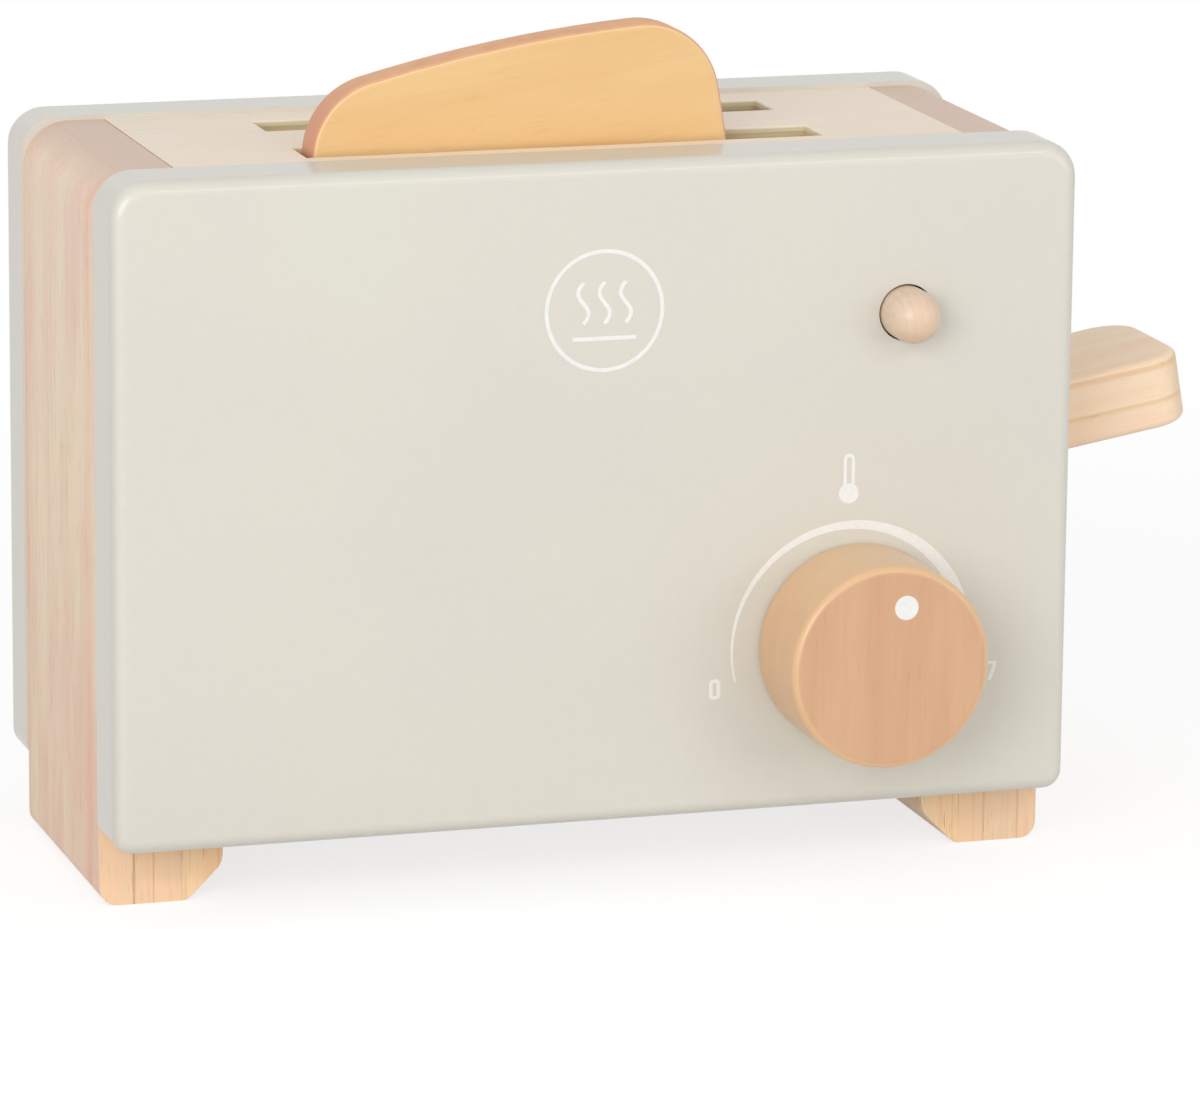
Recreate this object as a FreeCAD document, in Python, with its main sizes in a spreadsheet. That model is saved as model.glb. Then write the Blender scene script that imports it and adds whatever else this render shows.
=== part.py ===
import FreeCAD, Part
import math
import os
import Sketcher

# A wooden toy toaster, in millimetres.
# Two painted panels stand either side of a box made of two side boards, a slotted deck and a
# base board.  A long board pivots on a dowel inside, lifts the bread and comes out through
# the right-hand side board as the lever.  A dial turns and a button slides in the front panel.
#
# X runs to the right, Y to the back and Z up.  The origin lies on the floor, at the middle of
# the footprint, half-way between the two panels.

SIZES = {
    # panels, front and back
    "panel_width": 200.0,
    "panel_height": 135.0,
    "panel_thickness": 15.0,
    "panel_lift": 14.0,
    "panel_corner_top": 7.5,
    "panel_corner_low": 4.0,
    "panel_arris": 3.0,
    "inner_depth": 64.0,
    # side boards, which reach the floor and are the feet's outer halves
    "side_thickness": 17.0,
    "side_inset": 0.5,
    "top_inset": 1.0,
    "side_shoulder": 9.0,
    "side_heel": 3.5,
    "board_arris": 0.5,
    # foot blocks, glued to the inside of the side boards
    "foot_block_thickness": 8.2,
    "foot_block_height": 18.0,
    "foot_chamfer": 7.3,
    # deck with its two bread slots, and the cleats that carry it
    "deck_thickness": 6.0,
    "slot_length": 108.0,
    "slot_width": 12.0,
    "slot_spacing": 32.0,
    "cleat_size": 8.0,
    "base_thickness": 8.0,
    # lever board and what it turns on
    "pivot_reach": 9.5,
    "pivot_height": 54.5,
    "pivot_diameter": 8.0,
    "pivot_embed": 9.0,
    "lever_tilt": 9.8,
    "lever_swing": 17.0,
    "lever_thickness": 15.0,
    "lever_width": 52.0,
    "paddle_proud": 37.9,
    "paddle_width": 36.0,
    "shoulder_gap": 6.7,
    "paddle_corner": 8.5,
    "lever_arris": 1.6,
    "heel_flat": 0.1,
    "window_gap": 0.6,
    "window_side_gap": 0.9,
    "window_wall": 3.1,
    "spacer_diameter": 15.0,
    # return spring under the lever board
    "spring_reach": 40.0,
    "spring_diameter": 14.0,
    "spring_wire": 1.2,
    "spring_pitch": 6.3,
    "peg_height": 8.0,
    "peg_depth": 6.0,
    # dial
    "dial_inset": 46.0,
    "dial_rise": 34.0,
    "knob_diameter": 41.6,
    "knob_depth": 22.0,
    "knob_rim": 1.6,
    "knob_back_rim": 0.6,
    "axle_diameter": 10.0,
    "axle_embed": 14.0,
    "washer_diameter": 20.0,
    "washer_thickness": 1.5,
    # button
    "button_inset": 36.4,
    "button_drop": 33.3,
    "button_diameter": 10.9,
    "button_proud": 10.0,
    "button_flange": 17.0,
    "flange_thickness": 3.0,
    "flange_recess": 7.0,
    "button_travel": 4.5,
    "pressed_room": 1.5,
    "button_spring_diameter": 15.0,
    "button_spring_wire": 0.8,
    "button_spring_pitch": 3.0,
    "housing_width": 25.0,
    "housing_wall": 4.0,
    "housing_screw_offset": 9.6,
    # toast
    "toast_width": 86.0,
    "toast_height": 94.5,
    "toast_thickness": 9.0,
    "toast_crown": 3.0,
    "toast_top_corner": 16.0,
    "toast_low_corner": 9.0,
    "toast_arris": 1.2,
    "toast_end_gap": 0.8,
    # fasteners
    "dowel_diameter": 8.0,
    "dowel_embed": 12.0,
    "fixing_inset": 24.0,
    "panel_screw_diameter": 3.5,
    "panel_screw_head": 7.0,
    "small_screw_diameter": 2.5,
    "small_screw_head": 5.0,
    "small_screw_length": 14.0,
    "dial_screw_diameter": 3.5,
    "dial_screw_head": 7.0,
    "dial_screw_length": 14.0,
    "head_height": 2.0,
    "recess_depth": 1.1,
    "drill_extra": 1.0,
    # clearances
    "glue_gap": 0.05,
    "running_gap": 0.1,
    "loose_gap": 0.35,
    "seat_gap": 0.3,
    "cut_over": 1.0,
}

doc = FreeCAD.newDocument("toy_toaster")
sheet = doc.addObject("Spreadsheet::Sheet", "Sizes")
for row, (alias, value) in enumerate(SIZES.items(), start=1):
    sheet.set("A%d" % row, alias)
    sheet.set("B%d" % row, str(value))
    sheet.setAlias("B%d" % row, alias)
doc.recompute()

# Places that several pieces share, worked out from the sheet.
OUTER = "(Sizes.panel_width / 2 - Sizes.side_inset)"
INNER = "(%s - Sizes.side_thickness)" % OUTER
SIDE_MIDDLE = "(%s - Sizes.side_thickness / 2)" % OUTER
PANEL_BACK = "(-Sizes.inner_depth / 2)"
PANEL_FACE = "(-Sizes.inner_depth / 2 - Sizes.panel_thickness)"
PANEL_TOP = "(Sizes.panel_lift + Sizes.panel_height)"
PANEL_MIDDLE = "(Sizes.panel_lift + Sizes.panel_height / 2)"
BOARD_TOP = "(%s - Sizes.top_inset)" % PANEL_TOP
BASE_TOP = "(Sizes.foot_block_height + Sizes.base_thickness)"
PIVOT_X = "(Sizes.pivot_reach - %s)" % INNER
SPRING_X = "(%s + Sizes.spring_reach)" % PIVOT_X
DIAL_X = "(Sizes.panel_width / 2 - Sizes.dial_inset)"
DIAL_Z = "(Sizes.panel_lift + Sizes.dial_rise)"
BUTTON_X = "(Sizes.panel_width / 2 - Sizes.button_inset)"
BUTTON_RISE = "(Sizes.panel_height - Sizes.button_drop)"
BUTTON_Z = "(Sizes.panel_lift + %s)" % BUTTON_RISE
HOUSING_CUP = "(Sizes.button_travel + Sizes.pressed_room)"
HOUSING_DEPTH = "(%s + Sizes.housing_wall)" % HOUSING_CUP
FIXING_LOW = "(Sizes.panel_lift + Sizes.fixing_inset)"
FIXING_HIGH = "(%s - Sizes.fixing_inset)" % PANEL_TOP
TILT = "Sizes.lever_tilt * 1 deg"
DROP = "(Sizes.lever_swing - Sizes.lever_tilt) * 1 deg"
LEVER_HALF = "Sizes.lever_thickness / 2"
LEVER_REACH = "((%s + Sizes.paddle_proud - %s) / cos(%s))" % (OUTER, PIVOT_X, TILT)
SHOULDER_REACH = "((%s - Sizes.shoulder_gap - %s) / cos(%s))" % (INNER, PIVOT_X, TILT)
TOAST_REACH = ("(cos(%s) * (Sizes.toast_end_gap - Sizes.slot_length / 2 - %s)"
               " + sin(%s) * (%s - Sizes.pivot_height))" % (TILT, PIVOT_X, TILT, BOARD_TOP))
WINDOW_HALF = "(Sizes.paddle_width / 2 + Sizes.window_side_gap)"
WINDOW_TOP = "(Sizes.pivot_height + (%s - %s) * tan(%s) + %s / cos(%s) + Sizes.window_gap)" % (
    OUTER, PIVOT_X, TILT, LEVER_HALF, TILT)
WINDOW_LOW = "(Sizes.pivot_height - (%s - %s) * tan(%s) - %s / cos(%s) - Sizes.window_gap)" % (
    OUTER, PIVOT_X, DROP, LEVER_HALF, DROP)
# Depth of the dowels and the panel screws in the side boards, which stop short of the window.
FIXING_DEPTH = "(Sizes.inner_depth / 2 - %s - Sizes.window_wall)" % WINDOW_HALF
DOWEL_LENGTH = "(Sizes.dowel_embed + %s)" % FIXING_DEPTH
PANEL_SCREW_LENGTH = "(Sizes.panel_thickness + %s)" % FIXING_DEPTH

NEAR = 1e-4
nodes = []


# ---------------------------------------------------------------- drawing and feature helpers

def new_body(label):
    """A body whose label is the name of the piece."""
    body = doc.addObject("PartDesign::Body", label)
    body.Label = label
    nodes.append(body)
    return body


def place(piece, x="0", y="0", z="0"):
    """Bind a piece's position to the sheet."""
    for axis, expression in (("x", x), ("y", y), ("z", z)):
        piece.setExpression("Placement.Base." + axis, expression)


def sketch_on(body, role, lift="0"):
    """A sketch on one of the body's own origin planes, lifted along the plane's normal."""
    sketch = body.newObject("Sketcher::SketchObject", body.Label + "_sketch")
    plane = next(feature for feature in body.Origin.OriginFeatures if feature.Role == role)
    sketch.AttachmentSupport = [(plane, "")]
    sketch.MapMode = "FlatFace"
    sketch.setExpression("AttachmentOffset.Base.z", lift)
    return sketch


def number(item, expression):
    """The value that an expression has now, as a plain number."""
    value = item.evalExpression(expression)
    return float(getattr(value, "Value", value))


def dimension(sketch, kind, *place_and_expression):
    """A driving dimension bound to an expression."""
    *where, expression = place_and_expression
    value = number(sketch, expression)
    index = sketch.addConstraint(Sketcher.Constraint(kind, *where, value))
    sketch.setExpression("Constraints[%d]" % index, expression)


def outline(sketch, corners, round_side=None, radius=None):
    """A closed outline through corners given as pairs of expressions.

    The side with the number round_side may be an arc of the given radius instead of a line.
    """
    points = [FreeCAD.Vector(number(sketch, x), number(sketch, y), 0) for x, y in corners]
    first = sketch.GeometryCount
    count = len(points)
    for side in range(count):
        start, end = points[side], points[(side + 1) % count]
        if side == round_side:
            chord = end - start
            bulge = FreeCAD.Vector(chord.y, -chord.x, 0).normalize()
            reach = number(sketch, radius)
            sagitta = reach - (reach ** 2 - (chord.Length / 2) ** 2) ** 0.5
            crown = (start + end) * 0.5 + bulge * sagitta
            sketch.addGeometry(Part.Arc(start, crown, end), False)
        else:
            sketch.addGeometry(Part.LineSegment(start, end), False)
    ends = {side: (1, 2) for side in range(count)}
    for side in range(count):
        following = (side + 1) % count
        sketch.addConstraint(Sketcher.Constraint(
            "Coincident", first + side, ends[side][1], first + following, ends[following][0]))
    for side, (x, y) in enumerate(corners):
        dimension(sketch, "DistanceX", -1, 1, first + side, 1, x)
        dimension(sketch, "DistanceY", -1, 1, first + side, 1, y)
    if round_side is not None:
        dimension(sketch, "Radius", first + round_side, radius)


def rectangle(sketch, left, low, right, high):
    """A rectangle from its four sides."""
    outline(sketch, [(left, low), (right, low), (right, high), (left, high)])


def circle(sketch, x, y, diameter):
    """A circle from its centre and diameter."""
    centre = FreeCAD.Vector(number(sketch, x), number(sketch, y), 0)
    radius = number(sketch, diameter) / 2
    index = sketch.addGeometry(
        Part.Circle(centre, FreeCAD.Vector(0, 0, 1), radius), False)
    dimension(sketch, "DistanceX", -1, 1, index, 3, x)
    dimension(sketch, "DistanceY", -1, 1, index, 3, y)
    dimension(sketch, "Radius", index, "(%s) / 2" % diameter)


def pad(body, sketch, length, reverse=False, both_ways=False):
    """Stretch a sketch to a solid along its normal, against it, or half each way."""
    feature = body.newObject("PartDesign::Pad", body.Label + "_pad")
    feature.Profile = sketch
    feature.setExpression("Length", length)
    feature.Reversed = reverse
    if both_ways:
        feature.SideType = "Symmetric"
    doc.recompute()
    return feature


def pocket(body, sketch, depth=None, reverse=False):
    """Cut a sketch into the body, to a depth or right through both ways."""
    before = body.Shape.Volume
    feature = body.newObject("PartDesign::Pocket", body.Label + "_pocket")
    feature.Profile = sketch
    if depth is None:
        feature.Type = "ThroughAll"
        feature.SideType = "Symmetric"
    else:
        feature.setExpression("Length", depth)
        feature.Reversed = reverse
    doc.recompute()
    if body.Shape.Volume > before - NEAR:
        raise RuntimeError("a pocket in %s cuts nothing" % body.Label)
    return feature


def revolve(body, sketch):
    """Turn a half profile about the sketch's vertical axis."""
    feature = body.newObject("PartDesign::Revolution", body.Label + "_turning")
    feature.Profile = sketch
    feature.ReferenceAxis = (sketch, ["V_Axis"])
    feature.Angle = 360
    doc.recompute()
    return feature


def round_edges(body, radius, wanted, kind="Fillet"):
    """Round or chamfer the edges whose middle and ends pass the test."""
    base = body.Tip
    names = []
    for index, edge in enumerate(base.Shape.Edges, start=1):
        middle = edge.valueAt((edge.FirstParameter + edge.LastParameter) / 2)
        ends = [vertex.Point for vertex in edge.Vertexes]
        if wanted(middle, ends):
            names.append("Edge%d" % index)
    if not names:
        raise RuntimeError("no edge of %s is there to round" % body.Label)
    feature = body.newObject("PartDesign::" + kind, body.Label + "_edge")
    feature.Base = (base, names)
    feature.setExpression("Radius" if kind == "Fillet" else "Size", radius)
    doc.recompute()
    if feature.Shape.isNull():
        raise RuntimeError("an edge of %s can't be rounded" % body.Label)
    return feature


def along(axis, ends):
    """Whether an edge's ends differ along one axis only."""
    step = ends[-1] - ends[0]
    others = [abs(getattr(step, name)) for name in "xyz" if name != axis]
    return max(others) < NEAR < abs(getattr(step, axis))


def on_plane(axis, level, ends):
    """Whether all the ends of an edge lie on one plane across an axis."""
    return all(abs(getattr(end, axis) - level) < NEAR for end in ends)


def cylinder(name, diameter, length, axis_y=True):
    """A plain cylinder, lying along Y or standing up."""
    piece = doc.addObject("Part::Cylinder", name)
    piece.setExpression("Radius", "(%s) / 2" % diameter)
    piece.setExpression("Height", length)
    if axis_y:
        piece.Placement.Rotation = FreeCAD.Rotation(FreeCAD.Vector(1, 0, 0), -90)
    return piece


def cut(label, base, tool):
    """One shape less another, as a piece of its own."""
    piece = doc.addObject("Part::Cut", label)
    piece.Base = base
    piece.Tool = tool
    piece.Label = label
    return piece


def mirrored_two(label, seed, normal):
    """A piece and its mirror image about the plane through the origin."""
    twin = doc.addObject("Part::Mirroring", label + "_twin")
    twin.Source = seed
    twin.Normal = normal
    group = doc.addObject("Part::Compound", label)
    group.Links = [seed, twin]
    group.Label = label
    return group


def mirrored_four(label, seed):
    """Four alike pieces at the corners of a panel, from the one at its lower right."""
    pair = mirrored_two(label + "_pair", seed, FreeCAD.Vector(1, 0, 0))
    upper = doc.addObject("Part::Mirroring", label + "_upper")
    upper.Source = pair
    upper.Normal = FreeCAD.Vector(0, 0, 1)
    upper.setExpression("Base.z", PANEL_MIDDLE)
    group = doc.addObject("Part::Compound", label)
    group.Links = [pair, upper]
    group.Label = label
    return group


# Shapes of the screws' heads, as shares of the head's diameter, radius or height.
CROSS_REACH = 0.32
CROSS_HALF_WIDTH = 0.06
PAN_TOP_SHARE = 0.7
PAN_EDGE_SHARE = 0.6


def screw(label, size, length, pan_head=False):
    """A cross-head wood screw with its head at the origin and its point towards -Y."""
    body = doc.addObject("PartDesign::Body", label)
    body.Label = label
    head = "Sizes.%s_head / 2" % size
    shank = "Sizes.%s_diameter / 2" % size
    under_head = "-Sizes.head_height"
    profile = sketch_on(body, "XY_Plane")
    corners = [("0", "0"), (head, "0"), (shank, under_head)]
    if pan_head:
        corners = [("0", "0"), ("%s * %s" % (PAN_TOP_SHARE, head), "0"),
                   (head, "%s * %s" % (PAN_EDGE_SHARE, under_head)), (head, under_head),
                   (shank, under_head)]
    corners += [(shank, "-(%s - Sizes.%s_diameter)" % (length, size)), ("0", "-" + length)]
    outline(profile, list(reversed(corners)))
    revolve(body, profile)
    arm = "%s * Sizes.%s_head" % (CROSS_REACH, size)
    blade = "%s * Sizes.%s_head" % (CROSS_HALF_WIDTH, size)
    cross = [(arm, blade), (blade, blade), (blade, arm), ("-" + blade, arm),
             ("-" + blade, blade), ("-" + arm, blade), ("-" + arm, "-" + blade),
             ("-" + blade, "-" + blade), ("-" + blade, "-" + arm), (blade, "-" + arm),
             (blade, "-" + blade), (arm, "-" + blade)]
    recess = sketch_on(body, "XZ_Plane")
    outline(recess, cross)
    pocket(body, recess, "Sizes.recess_depth", reverse=True)
    return body


def coil(label, diameter, wire, pitch, length):
    """A compression spring standing on the XY plane of its own frame.

    Each half turn is half a ring, tipped so that its ends meet the next half's, and the wire
    is drawn with six sides.
    """
    ring = (number(sheet, diameter) - number(sheet, wire)) / 2
    rise = (number(sheet, length) - number(sheet, wire)) / 2
    halves = max(2, round(4 * rise / number(sheet, pitch)))
    quarter = rise / halves
    reach = math.hypot(ring, quarter)
    tip = math.degrees(math.atan2(quarter, ring))
    wire_radius = number(sheet, wire) / 2
    corners = [FreeCAD.Vector(reach + wire_radius * math.cos(angle), 0,
                              wire_radius * math.sin(angle))
               for angle in (math.radians(60 * step) for step in range(7))]
    section = Part.Face(Part.makePolygon(corners))
    turns = []
    for half in range(halves):
        turn = section.revolve(FreeCAD.Vector(), FreeCAD.Vector(0, 0, 1), 180)
        if half % 2:
            turn.rotate(FreeCAD.Vector(), FreeCAD.Vector(0, 0, 1), 180)
        turn.rotate(FreeCAD.Vector(), FreeCAD.Vector(0, 1, 0), -tip if half % 2 else tip)
        turn.translate(FreeCAD.Vector(0, 0, wire_radius + (2 * half + 1) * quarter))
        turns.append(turn)
    spring = doc.addObject("Part::Feature", label)
    spring.Shape = turns[0].multiFuse(turns[1:])
    spring.Label = label
    nodes.append(spring)
    return spring


# ---------------------------------------------------------------- front and back panels

def panel_blank(label, outwards):
    """A board with four rounded corners and a rounded arris round its outer face."""
    body = new_body(label)
    front = sketch_on(body, "XZ_Plane")
    half = "Sizes.panel_width / 2"
    rectangle(front, "-" + half, "0", half, "Sizes.panel_height")
    pad(body, front, "Sizes.panel_thickness", reverse=outwards > 0)
    height = SIZES["panel_height"]
    thickness = SIZES["panel_thickness"]
    round_edges(body, "Sizes.panel_corner_top",
                lambda middle, ends: along("y", ends) and middle.z > height / 2)
    round_edges(body, "Sizes.panel_corner_low",
                lambda middle, ends: along("y", ends) and middle.z < height / 2)
    round_edges(body, "Sizes.panel_arris",
                lambda middle, ends: on_plane("y", outwards * thickness, ends + [middle]))
    place(body, y="%d * Sizes.inner_depth / 2" % outwards, z="Sizes.panel_lift")
    return body


def pivot_socket(body, depth_from_back, inwards):
    """The blind hole that holds one end of the pivot dowel."""
    socket = sketch_on(body, "XZ_Plane")
    circle(socket, PIVOT_X, "Sizes.pivot_height - Sizes.panel_lift",
           "Sizes.pivot_diameter + 2 * Sizes.glue_gap")
    pocket(body, socket, depth_from_back, reverse=inwards)


# Front panel: bores for the dial's axle and the button, blind holes for the dowels.
front_panel = panel_blank("front_panel", -1)
bores = sketch_on(front_panel, "XZ_Plane")
circle(bores, DIAL_X, "Sizes.dial_rise",
       "Sizes.axle_diameter + 2 * Sizes.running_gap")
circle(bores, BUTTON_X, BUTTON_RISE,
       "Sizes.button_diameter + 2 * Sizes.loose_gap")
pocket(front_panel, bores)
recess = sketch_on(front_panel, "XZ_Plane")
circle(recess, BUTTON_X, BUTTON_RISE,
       "Sizes.button_flange + 2 * Sizes.loose_gap")
pocket(front_panel, recess, "Sizes.flange_recess", reverse=True)
dowel_holes = sketch_on(front_panel, "XZ_Plane")
for side in ("", "-"):
    for level in ("Sizes.fixing_inset", "Sizes.panel_height - Sizes.fixing_inset"):
        circle(dowel_holes, side + SIDE_MIDDLE, level,
               "Sizes.dowel_diameter + 2 * Sizes.glue_gap")
pocket(front_panel, dowel_holes, "Sizes.dowel_embed", reverse=True)
pivot_socket(front_panel, "Sizes.pivot_embed + Sizes.glue_gap", True)
housing_holes = sketch_on(front_panel, "XZ_Plane")
for sign in "+-":
    circle(housing_holes, "%s %s Sizes.housing_screw_offset" % (BUTTON_X, sign),
           "%s %s Sizes.housing_screw_offset" % (BUTTON_RISE, sign),
           "Sizes.small_screw_diameter + 2 * Sizes.glue_gap")
pocket(front_panel, housing_holes,
       "Sizes.small_screw_length - %s + Sizes.glue_gap" % HOUSING_DEPTH, reverse=True)

# Back panel: the same board, countersunk for four screws.
back_panel = panel_blank("back_panel", 1)
screw_holes = sketch_on(back_panel, "XZ_Plane")
for side in ("", "-"):
    for level in ("Sizes.fixing_inset", "Sizes.panel_height - Sizes.fixing_inset"):
        circle(screw_holes, side + SIDE_MIDDLE, level,
               "Sizes.panel_screw_diameter + 2 * Sizes.glue_gap")
pocket(back_panel, screw_holes)
pivot_socket(back_panel, "Sizes.pivot_embed + Sizes.glue_gap", False)


def countersink(body, x, z, size, face, label):
    """A conical seat for a screw head, turned out of a body's face at y = face."""
    seat = doc.addObject("PartDesign::SubtractiveCone", label)
    body.addObject(seat)
    seat.setExpression("Radius1", "Sizes.%s_diameter / 2 + Sizes.glue_gap" % size)
    seat.setExpression("Radius2", "Sizes.%s_head / 2 + Sizes.glue_gap" % size)
    seat.setExpression("Height", "Sizes.head_height")
    turn = FreeCAD.Rotation(FreeCAD.Vector(1, 0, 0), -90)
    seat.AttachmentOffset = FreeCAD.Placement(FreeCAD.Vector(0, 0, 0), turn)
    plane = next(feature for feature in body.Origin.OriginFeatures if feature.Role == "XY_Plane")
    seat.AttachmentSupport = [(plane, "")]
    seat.MapMode = "FlatFace"
    seat.setExpression("AttachmentOffset.Base.x", x)
    seat.setExpression("AttachmentOffset.Base.y", "%s - Sizes.head_height" % face)
    seat.setExpression("AttachmentOffset.Base.z", z)
    before = body.Shape.Volume
    doc.recompute()
    if body.Shape.Volume > before - NEAR:
        raise RuntimeError("a countersink in %s cuts nothing" % body.Label)


for side in ("", "-"):
    for level in ("Sizes.fixing_inset", "Sizes.panel_height - Sizes.fixing_inset"):
        countersink(back_panel, side + SIDE_MIDDLE, level, "panel_screw",
                    "Sizes.panel_thickness", "back_panel_countersink")


# ---------------------------------------------------------------- side boards and feet

def side_board(label, side):
    """A board from the floor to the deck, its outer ends rounded to follow the panels."""
    body = new_body(label)
    profile = sketch_on(body, "XZ_Plane")
    edges = ["%d * %s" % (side, INNER), "%d * %s" % (side, OUTER)]
    left, right = edges if side > 0 else reversed(edges)
    rectangle(profile, left, "0", right, BOARD_TOP)
    pad(body, profile, "Sizes.inner_depth", both_ways=True)
    outer = side * (SIZES["panel_width"] / 2 - SIZES["side_inset"])
    top = SIZES["panel_lift"] + SIZES["panel_height"] - SIZES["top_inset"]
    round_edges(body, "Sizes.side_shoulder", lambda middle, ends: along("y", ends)
                and abs(middle.x - outer) < NEAR and abs(middle.z - top) < NEAR)
    round_edges(body, "Sizes.side_heel", lambda middle, ends: along("y", ends)
                and abs(middle.x - outer) < NEAR and abs(middle.z) < NEAR)
    round_edges(body, "Sizes.board_arris", lambda middle, ends: along("y", ends)
                and abs(middle.x - outer) > SIZES["side_thickness"] - NEAR
                and abs(middle.z - top) < NEAR)
    dowels = sketch_on(body, "XZ_Plane", "Sizes.inner_depth / 2")
    screws = sketch_on(body, "XZ_Plane", "-Sizes.inner_depth / 2")
    for level in (FIXING_LOW, FIXING_HIGH):
        across = "%d * %s" % (side, SIDE_MIDDLE)
        circle(dowels, across, level, "Sizes.dowel_diameter + 2 * Sizes.glue_gap")
        circle(screws, across, level, "Sizes.panel_screw_diameter + 2 * Sizes.glue_gap")
    pocket(body, dowels, FIXING_DEPTH + " + Sizes.glue_gap")
    pocket(body, screws, FIXING_DEPTH + " + Sizes.glue_gap", reverse=True)
    return body


def foot_block(label, side):
    """The block that widens a foot inwards, chamfered at its inner lower edge."""
    body = new_body(label)
    profile = sketch_on(body, "XZ_Plane")
    inner = "(%s - Sizes.foot_block_thickness)" % INNER
    edges = ["%d * %s" % (side, inner), "%d * %s" % (side, INNER)]
    left, right = edges if side > 0 else reversed(edges)
    rectangle(profile, left, "0", right, "Sizes.foot_block_height")
    pad(body, profile, "Sizes.inner_depth", both_ways=True)
    face = SIZES["panel_width"] / 2 - SIZES["side_inset"] - SIZES["side_thickness"]
    inner_face = side * (face - SIZES["foot_block_thickness"])
    round_edges(body, "Sizes.foot_chamfer", lambda middle, ends: along("y", ends)
                and abs(middle.x - inner_face) < NEAR and abs(middle.z) < NEAR, "Chamfer")
    return body


left_side_board = side_board("left_side_board", -1)
right_side_board = side_board("right_side_board", 1)
left_foot_block = foot_block("left_foot_block", -1)
right_foot_block = foot_block("right_foot_block", 1)

# The lever's window runs through the right-hand side board.
window = sketch_on(right_side_board, "YZ_Plane")
rectangle(window, "-" + WINDOW_HALF, WINDOW_LOW, WINDOW_HALF, WINDOW_TOP)
pocket(right_side_board, window)


# ---------------------------------------------------------------- deck, cleats and base

# Deck: a plate let in between the panels and the side boards, with two bread slots.
top_deck = new_body("top_deck")
plate = sketch_on(top_deck, "XY_Plane")
rectangle(plate, "-" + INNER, "-Sizes.inner_depth / 2", INNER, "Sizes.inner_depth / 2")
pad(top_deck, plate, "Sizes.deck_thickness", reverse=True)
slots = sketch_on(top_deck, "XY_Plane")
for near, far in (("-", "-"), ("", "")):
    edges = ["%s(Sizes.slot_spacing %s Sizes.slot_width) / 2" % (near, sign) for sign in "+-"]
    low, high = edges if near else reversed(edges)
    rectangle(slots, "-Sizes.slot_length / 2", low, "Sizes.slot_length / 2", high)
pocket(top_deck, slots)
round_edges(top_deck, "Sizes.board_arris",
            lambda middle, ends: on_plane("z", 0, ends + [middle])
            and abs(middle.x) < SIZES["slot_length"] / 2 + NEAR
            and abs(middle.y) < (SIZES["slot_spacing"] + SIZES["slot_width"]) / 2 + NEAR)
place(top_deck, z=BOARD_TOP)


def deck_cleat(label, side):
    """A square strip under one end of the deck, glued to the side board."""
    piece = doc.addObject("Part::Box", label)
    piece.Label = label
    piece.setExpression("Length", "Sizes.cleat_size")
    piece.setExpression("Width", "Sizes.inner_depth")
    piece.setExpression("Height", "Sizes.cleat_size")
    across = "-" + INNER if side < 0 else INNER + " - Sizes.cleat_size"
    place(piece, across, PANEL_BACK, "%s - Sizes.deck_thickness - Sizes.cleat_size" % BOARD_TOP)
    nodes.append(piece)


deck_cleat("left_deck_cleat", -1)
deck_cleat("right_deck_cleat", 1)

# Base board, lying on the foot blocks, with a blind hole for the spring's peg.
base_blank = doc.addObject("Part::Box", "base_blank")
base_blank.setExpression("Length", "2 * " + INNER)
base_blank.setExpression("Width", "Sizes.inner_depth")
base_blank.setExpression("Height", "Sizes.base_thickness")
place(base_blank, "-" + INNER, PANEL_BACK, "Sizes.foot_block_height")
PEG_DIAMETER = "(Sizes.spring_diameter - 2 * Sizes.spring_wire - 2 * Sizes.loose_gap)"
peg_hole = cylinder("peg_hole", PEG_DIAMETER + " + 2 * Sizes.glue_gap",
                    "Sizes.peg_depth + Sizes.cut_over", axis_y=False)
place(peg_hole, SPRING_X, "0", "%s - Sizes.peg_depth" % BASE_TOP)
nodes.append(cut("base_board", base_blank, peg_hole))

spring_peg = cylinder("spring_peg", PEG_DIAMETER, "Sizes.peg_depth + Sizes.peg_height",
                      axis_y=False)
place(spring_peg, SPRING_X, "0", "%s - Sizes.peg_depth" % BASE_TOP)
nodes.append(spring_peg)


# ---------------------------------------------------------------- fixings of the panels

dowel = cylinder("dowel", "Sizes.dowel_diameter", DOWEL_LENGTH)
place(dowel, SIDE_MIDDLE, "%s - Sizes.dowel_embed" % PANEL_BACK, FIXING_LOW)
nodes.append(mirrored_four("front_panel_dowels", dowel))

panel_screw = screw("panel_screw", "panel_screw", PANEL_SCREW_LENGTH)
place(panel_screw, SIDE_MIDDLE, "Sizes.inner_depth / 2 + Sizes.panel_thickness", FIXING_LOW)
nodes.append(mirrored_four("back_panel_screws", panel_screw))


# ---------------------------------------------------------------- lever and its pivot

# Lever board, drawn flat with the pivot at its own origin: broad under the bread, then
# shouldered down to the paddle that comes out through the window.
lever_board = new_body("lever_board")
plan = sketch_on(lever_board, "XY_Plane")
heel = "-" + LEVER_HALF
broad = "Sizes.lever_width / 2"
narrow = "Sizes.paddle_width / 2"
outline(plan, [
    (heel, "-" + broad), (SHOULDER_REACH, "-" + broad), (SHOULDER_REACH, "-" + narrow),
    (LEVER_REACH, "-" + narrow), (LEVER_REACH, narrow), (SHOULDER_REACH, narrow),
    (SHOULDER_REACH, broad), (heel, broad)])
pad(lever_board, plan, "Sizes.lever_thickness", both_ways=True)
half_board = SIZES["lever_thickness"] / 2
paddle_end = number(sheet, LEVER_REACH)
shoulder = number(sheet, SHOULDER_REACH)
round_edges(lever_board, "Sizes.paddle_corner", lambda middle, ends: along("z", ends)
            and abs(middle.x - paddle_end) < NEAR)
round_edges(lever_board, "(Sizes.lever_thickness - Sizes.heel_flat) / 2", lambda middle, ends:
            along("y", ends) and abs(middle.x + half_board) < NEAR)
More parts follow.
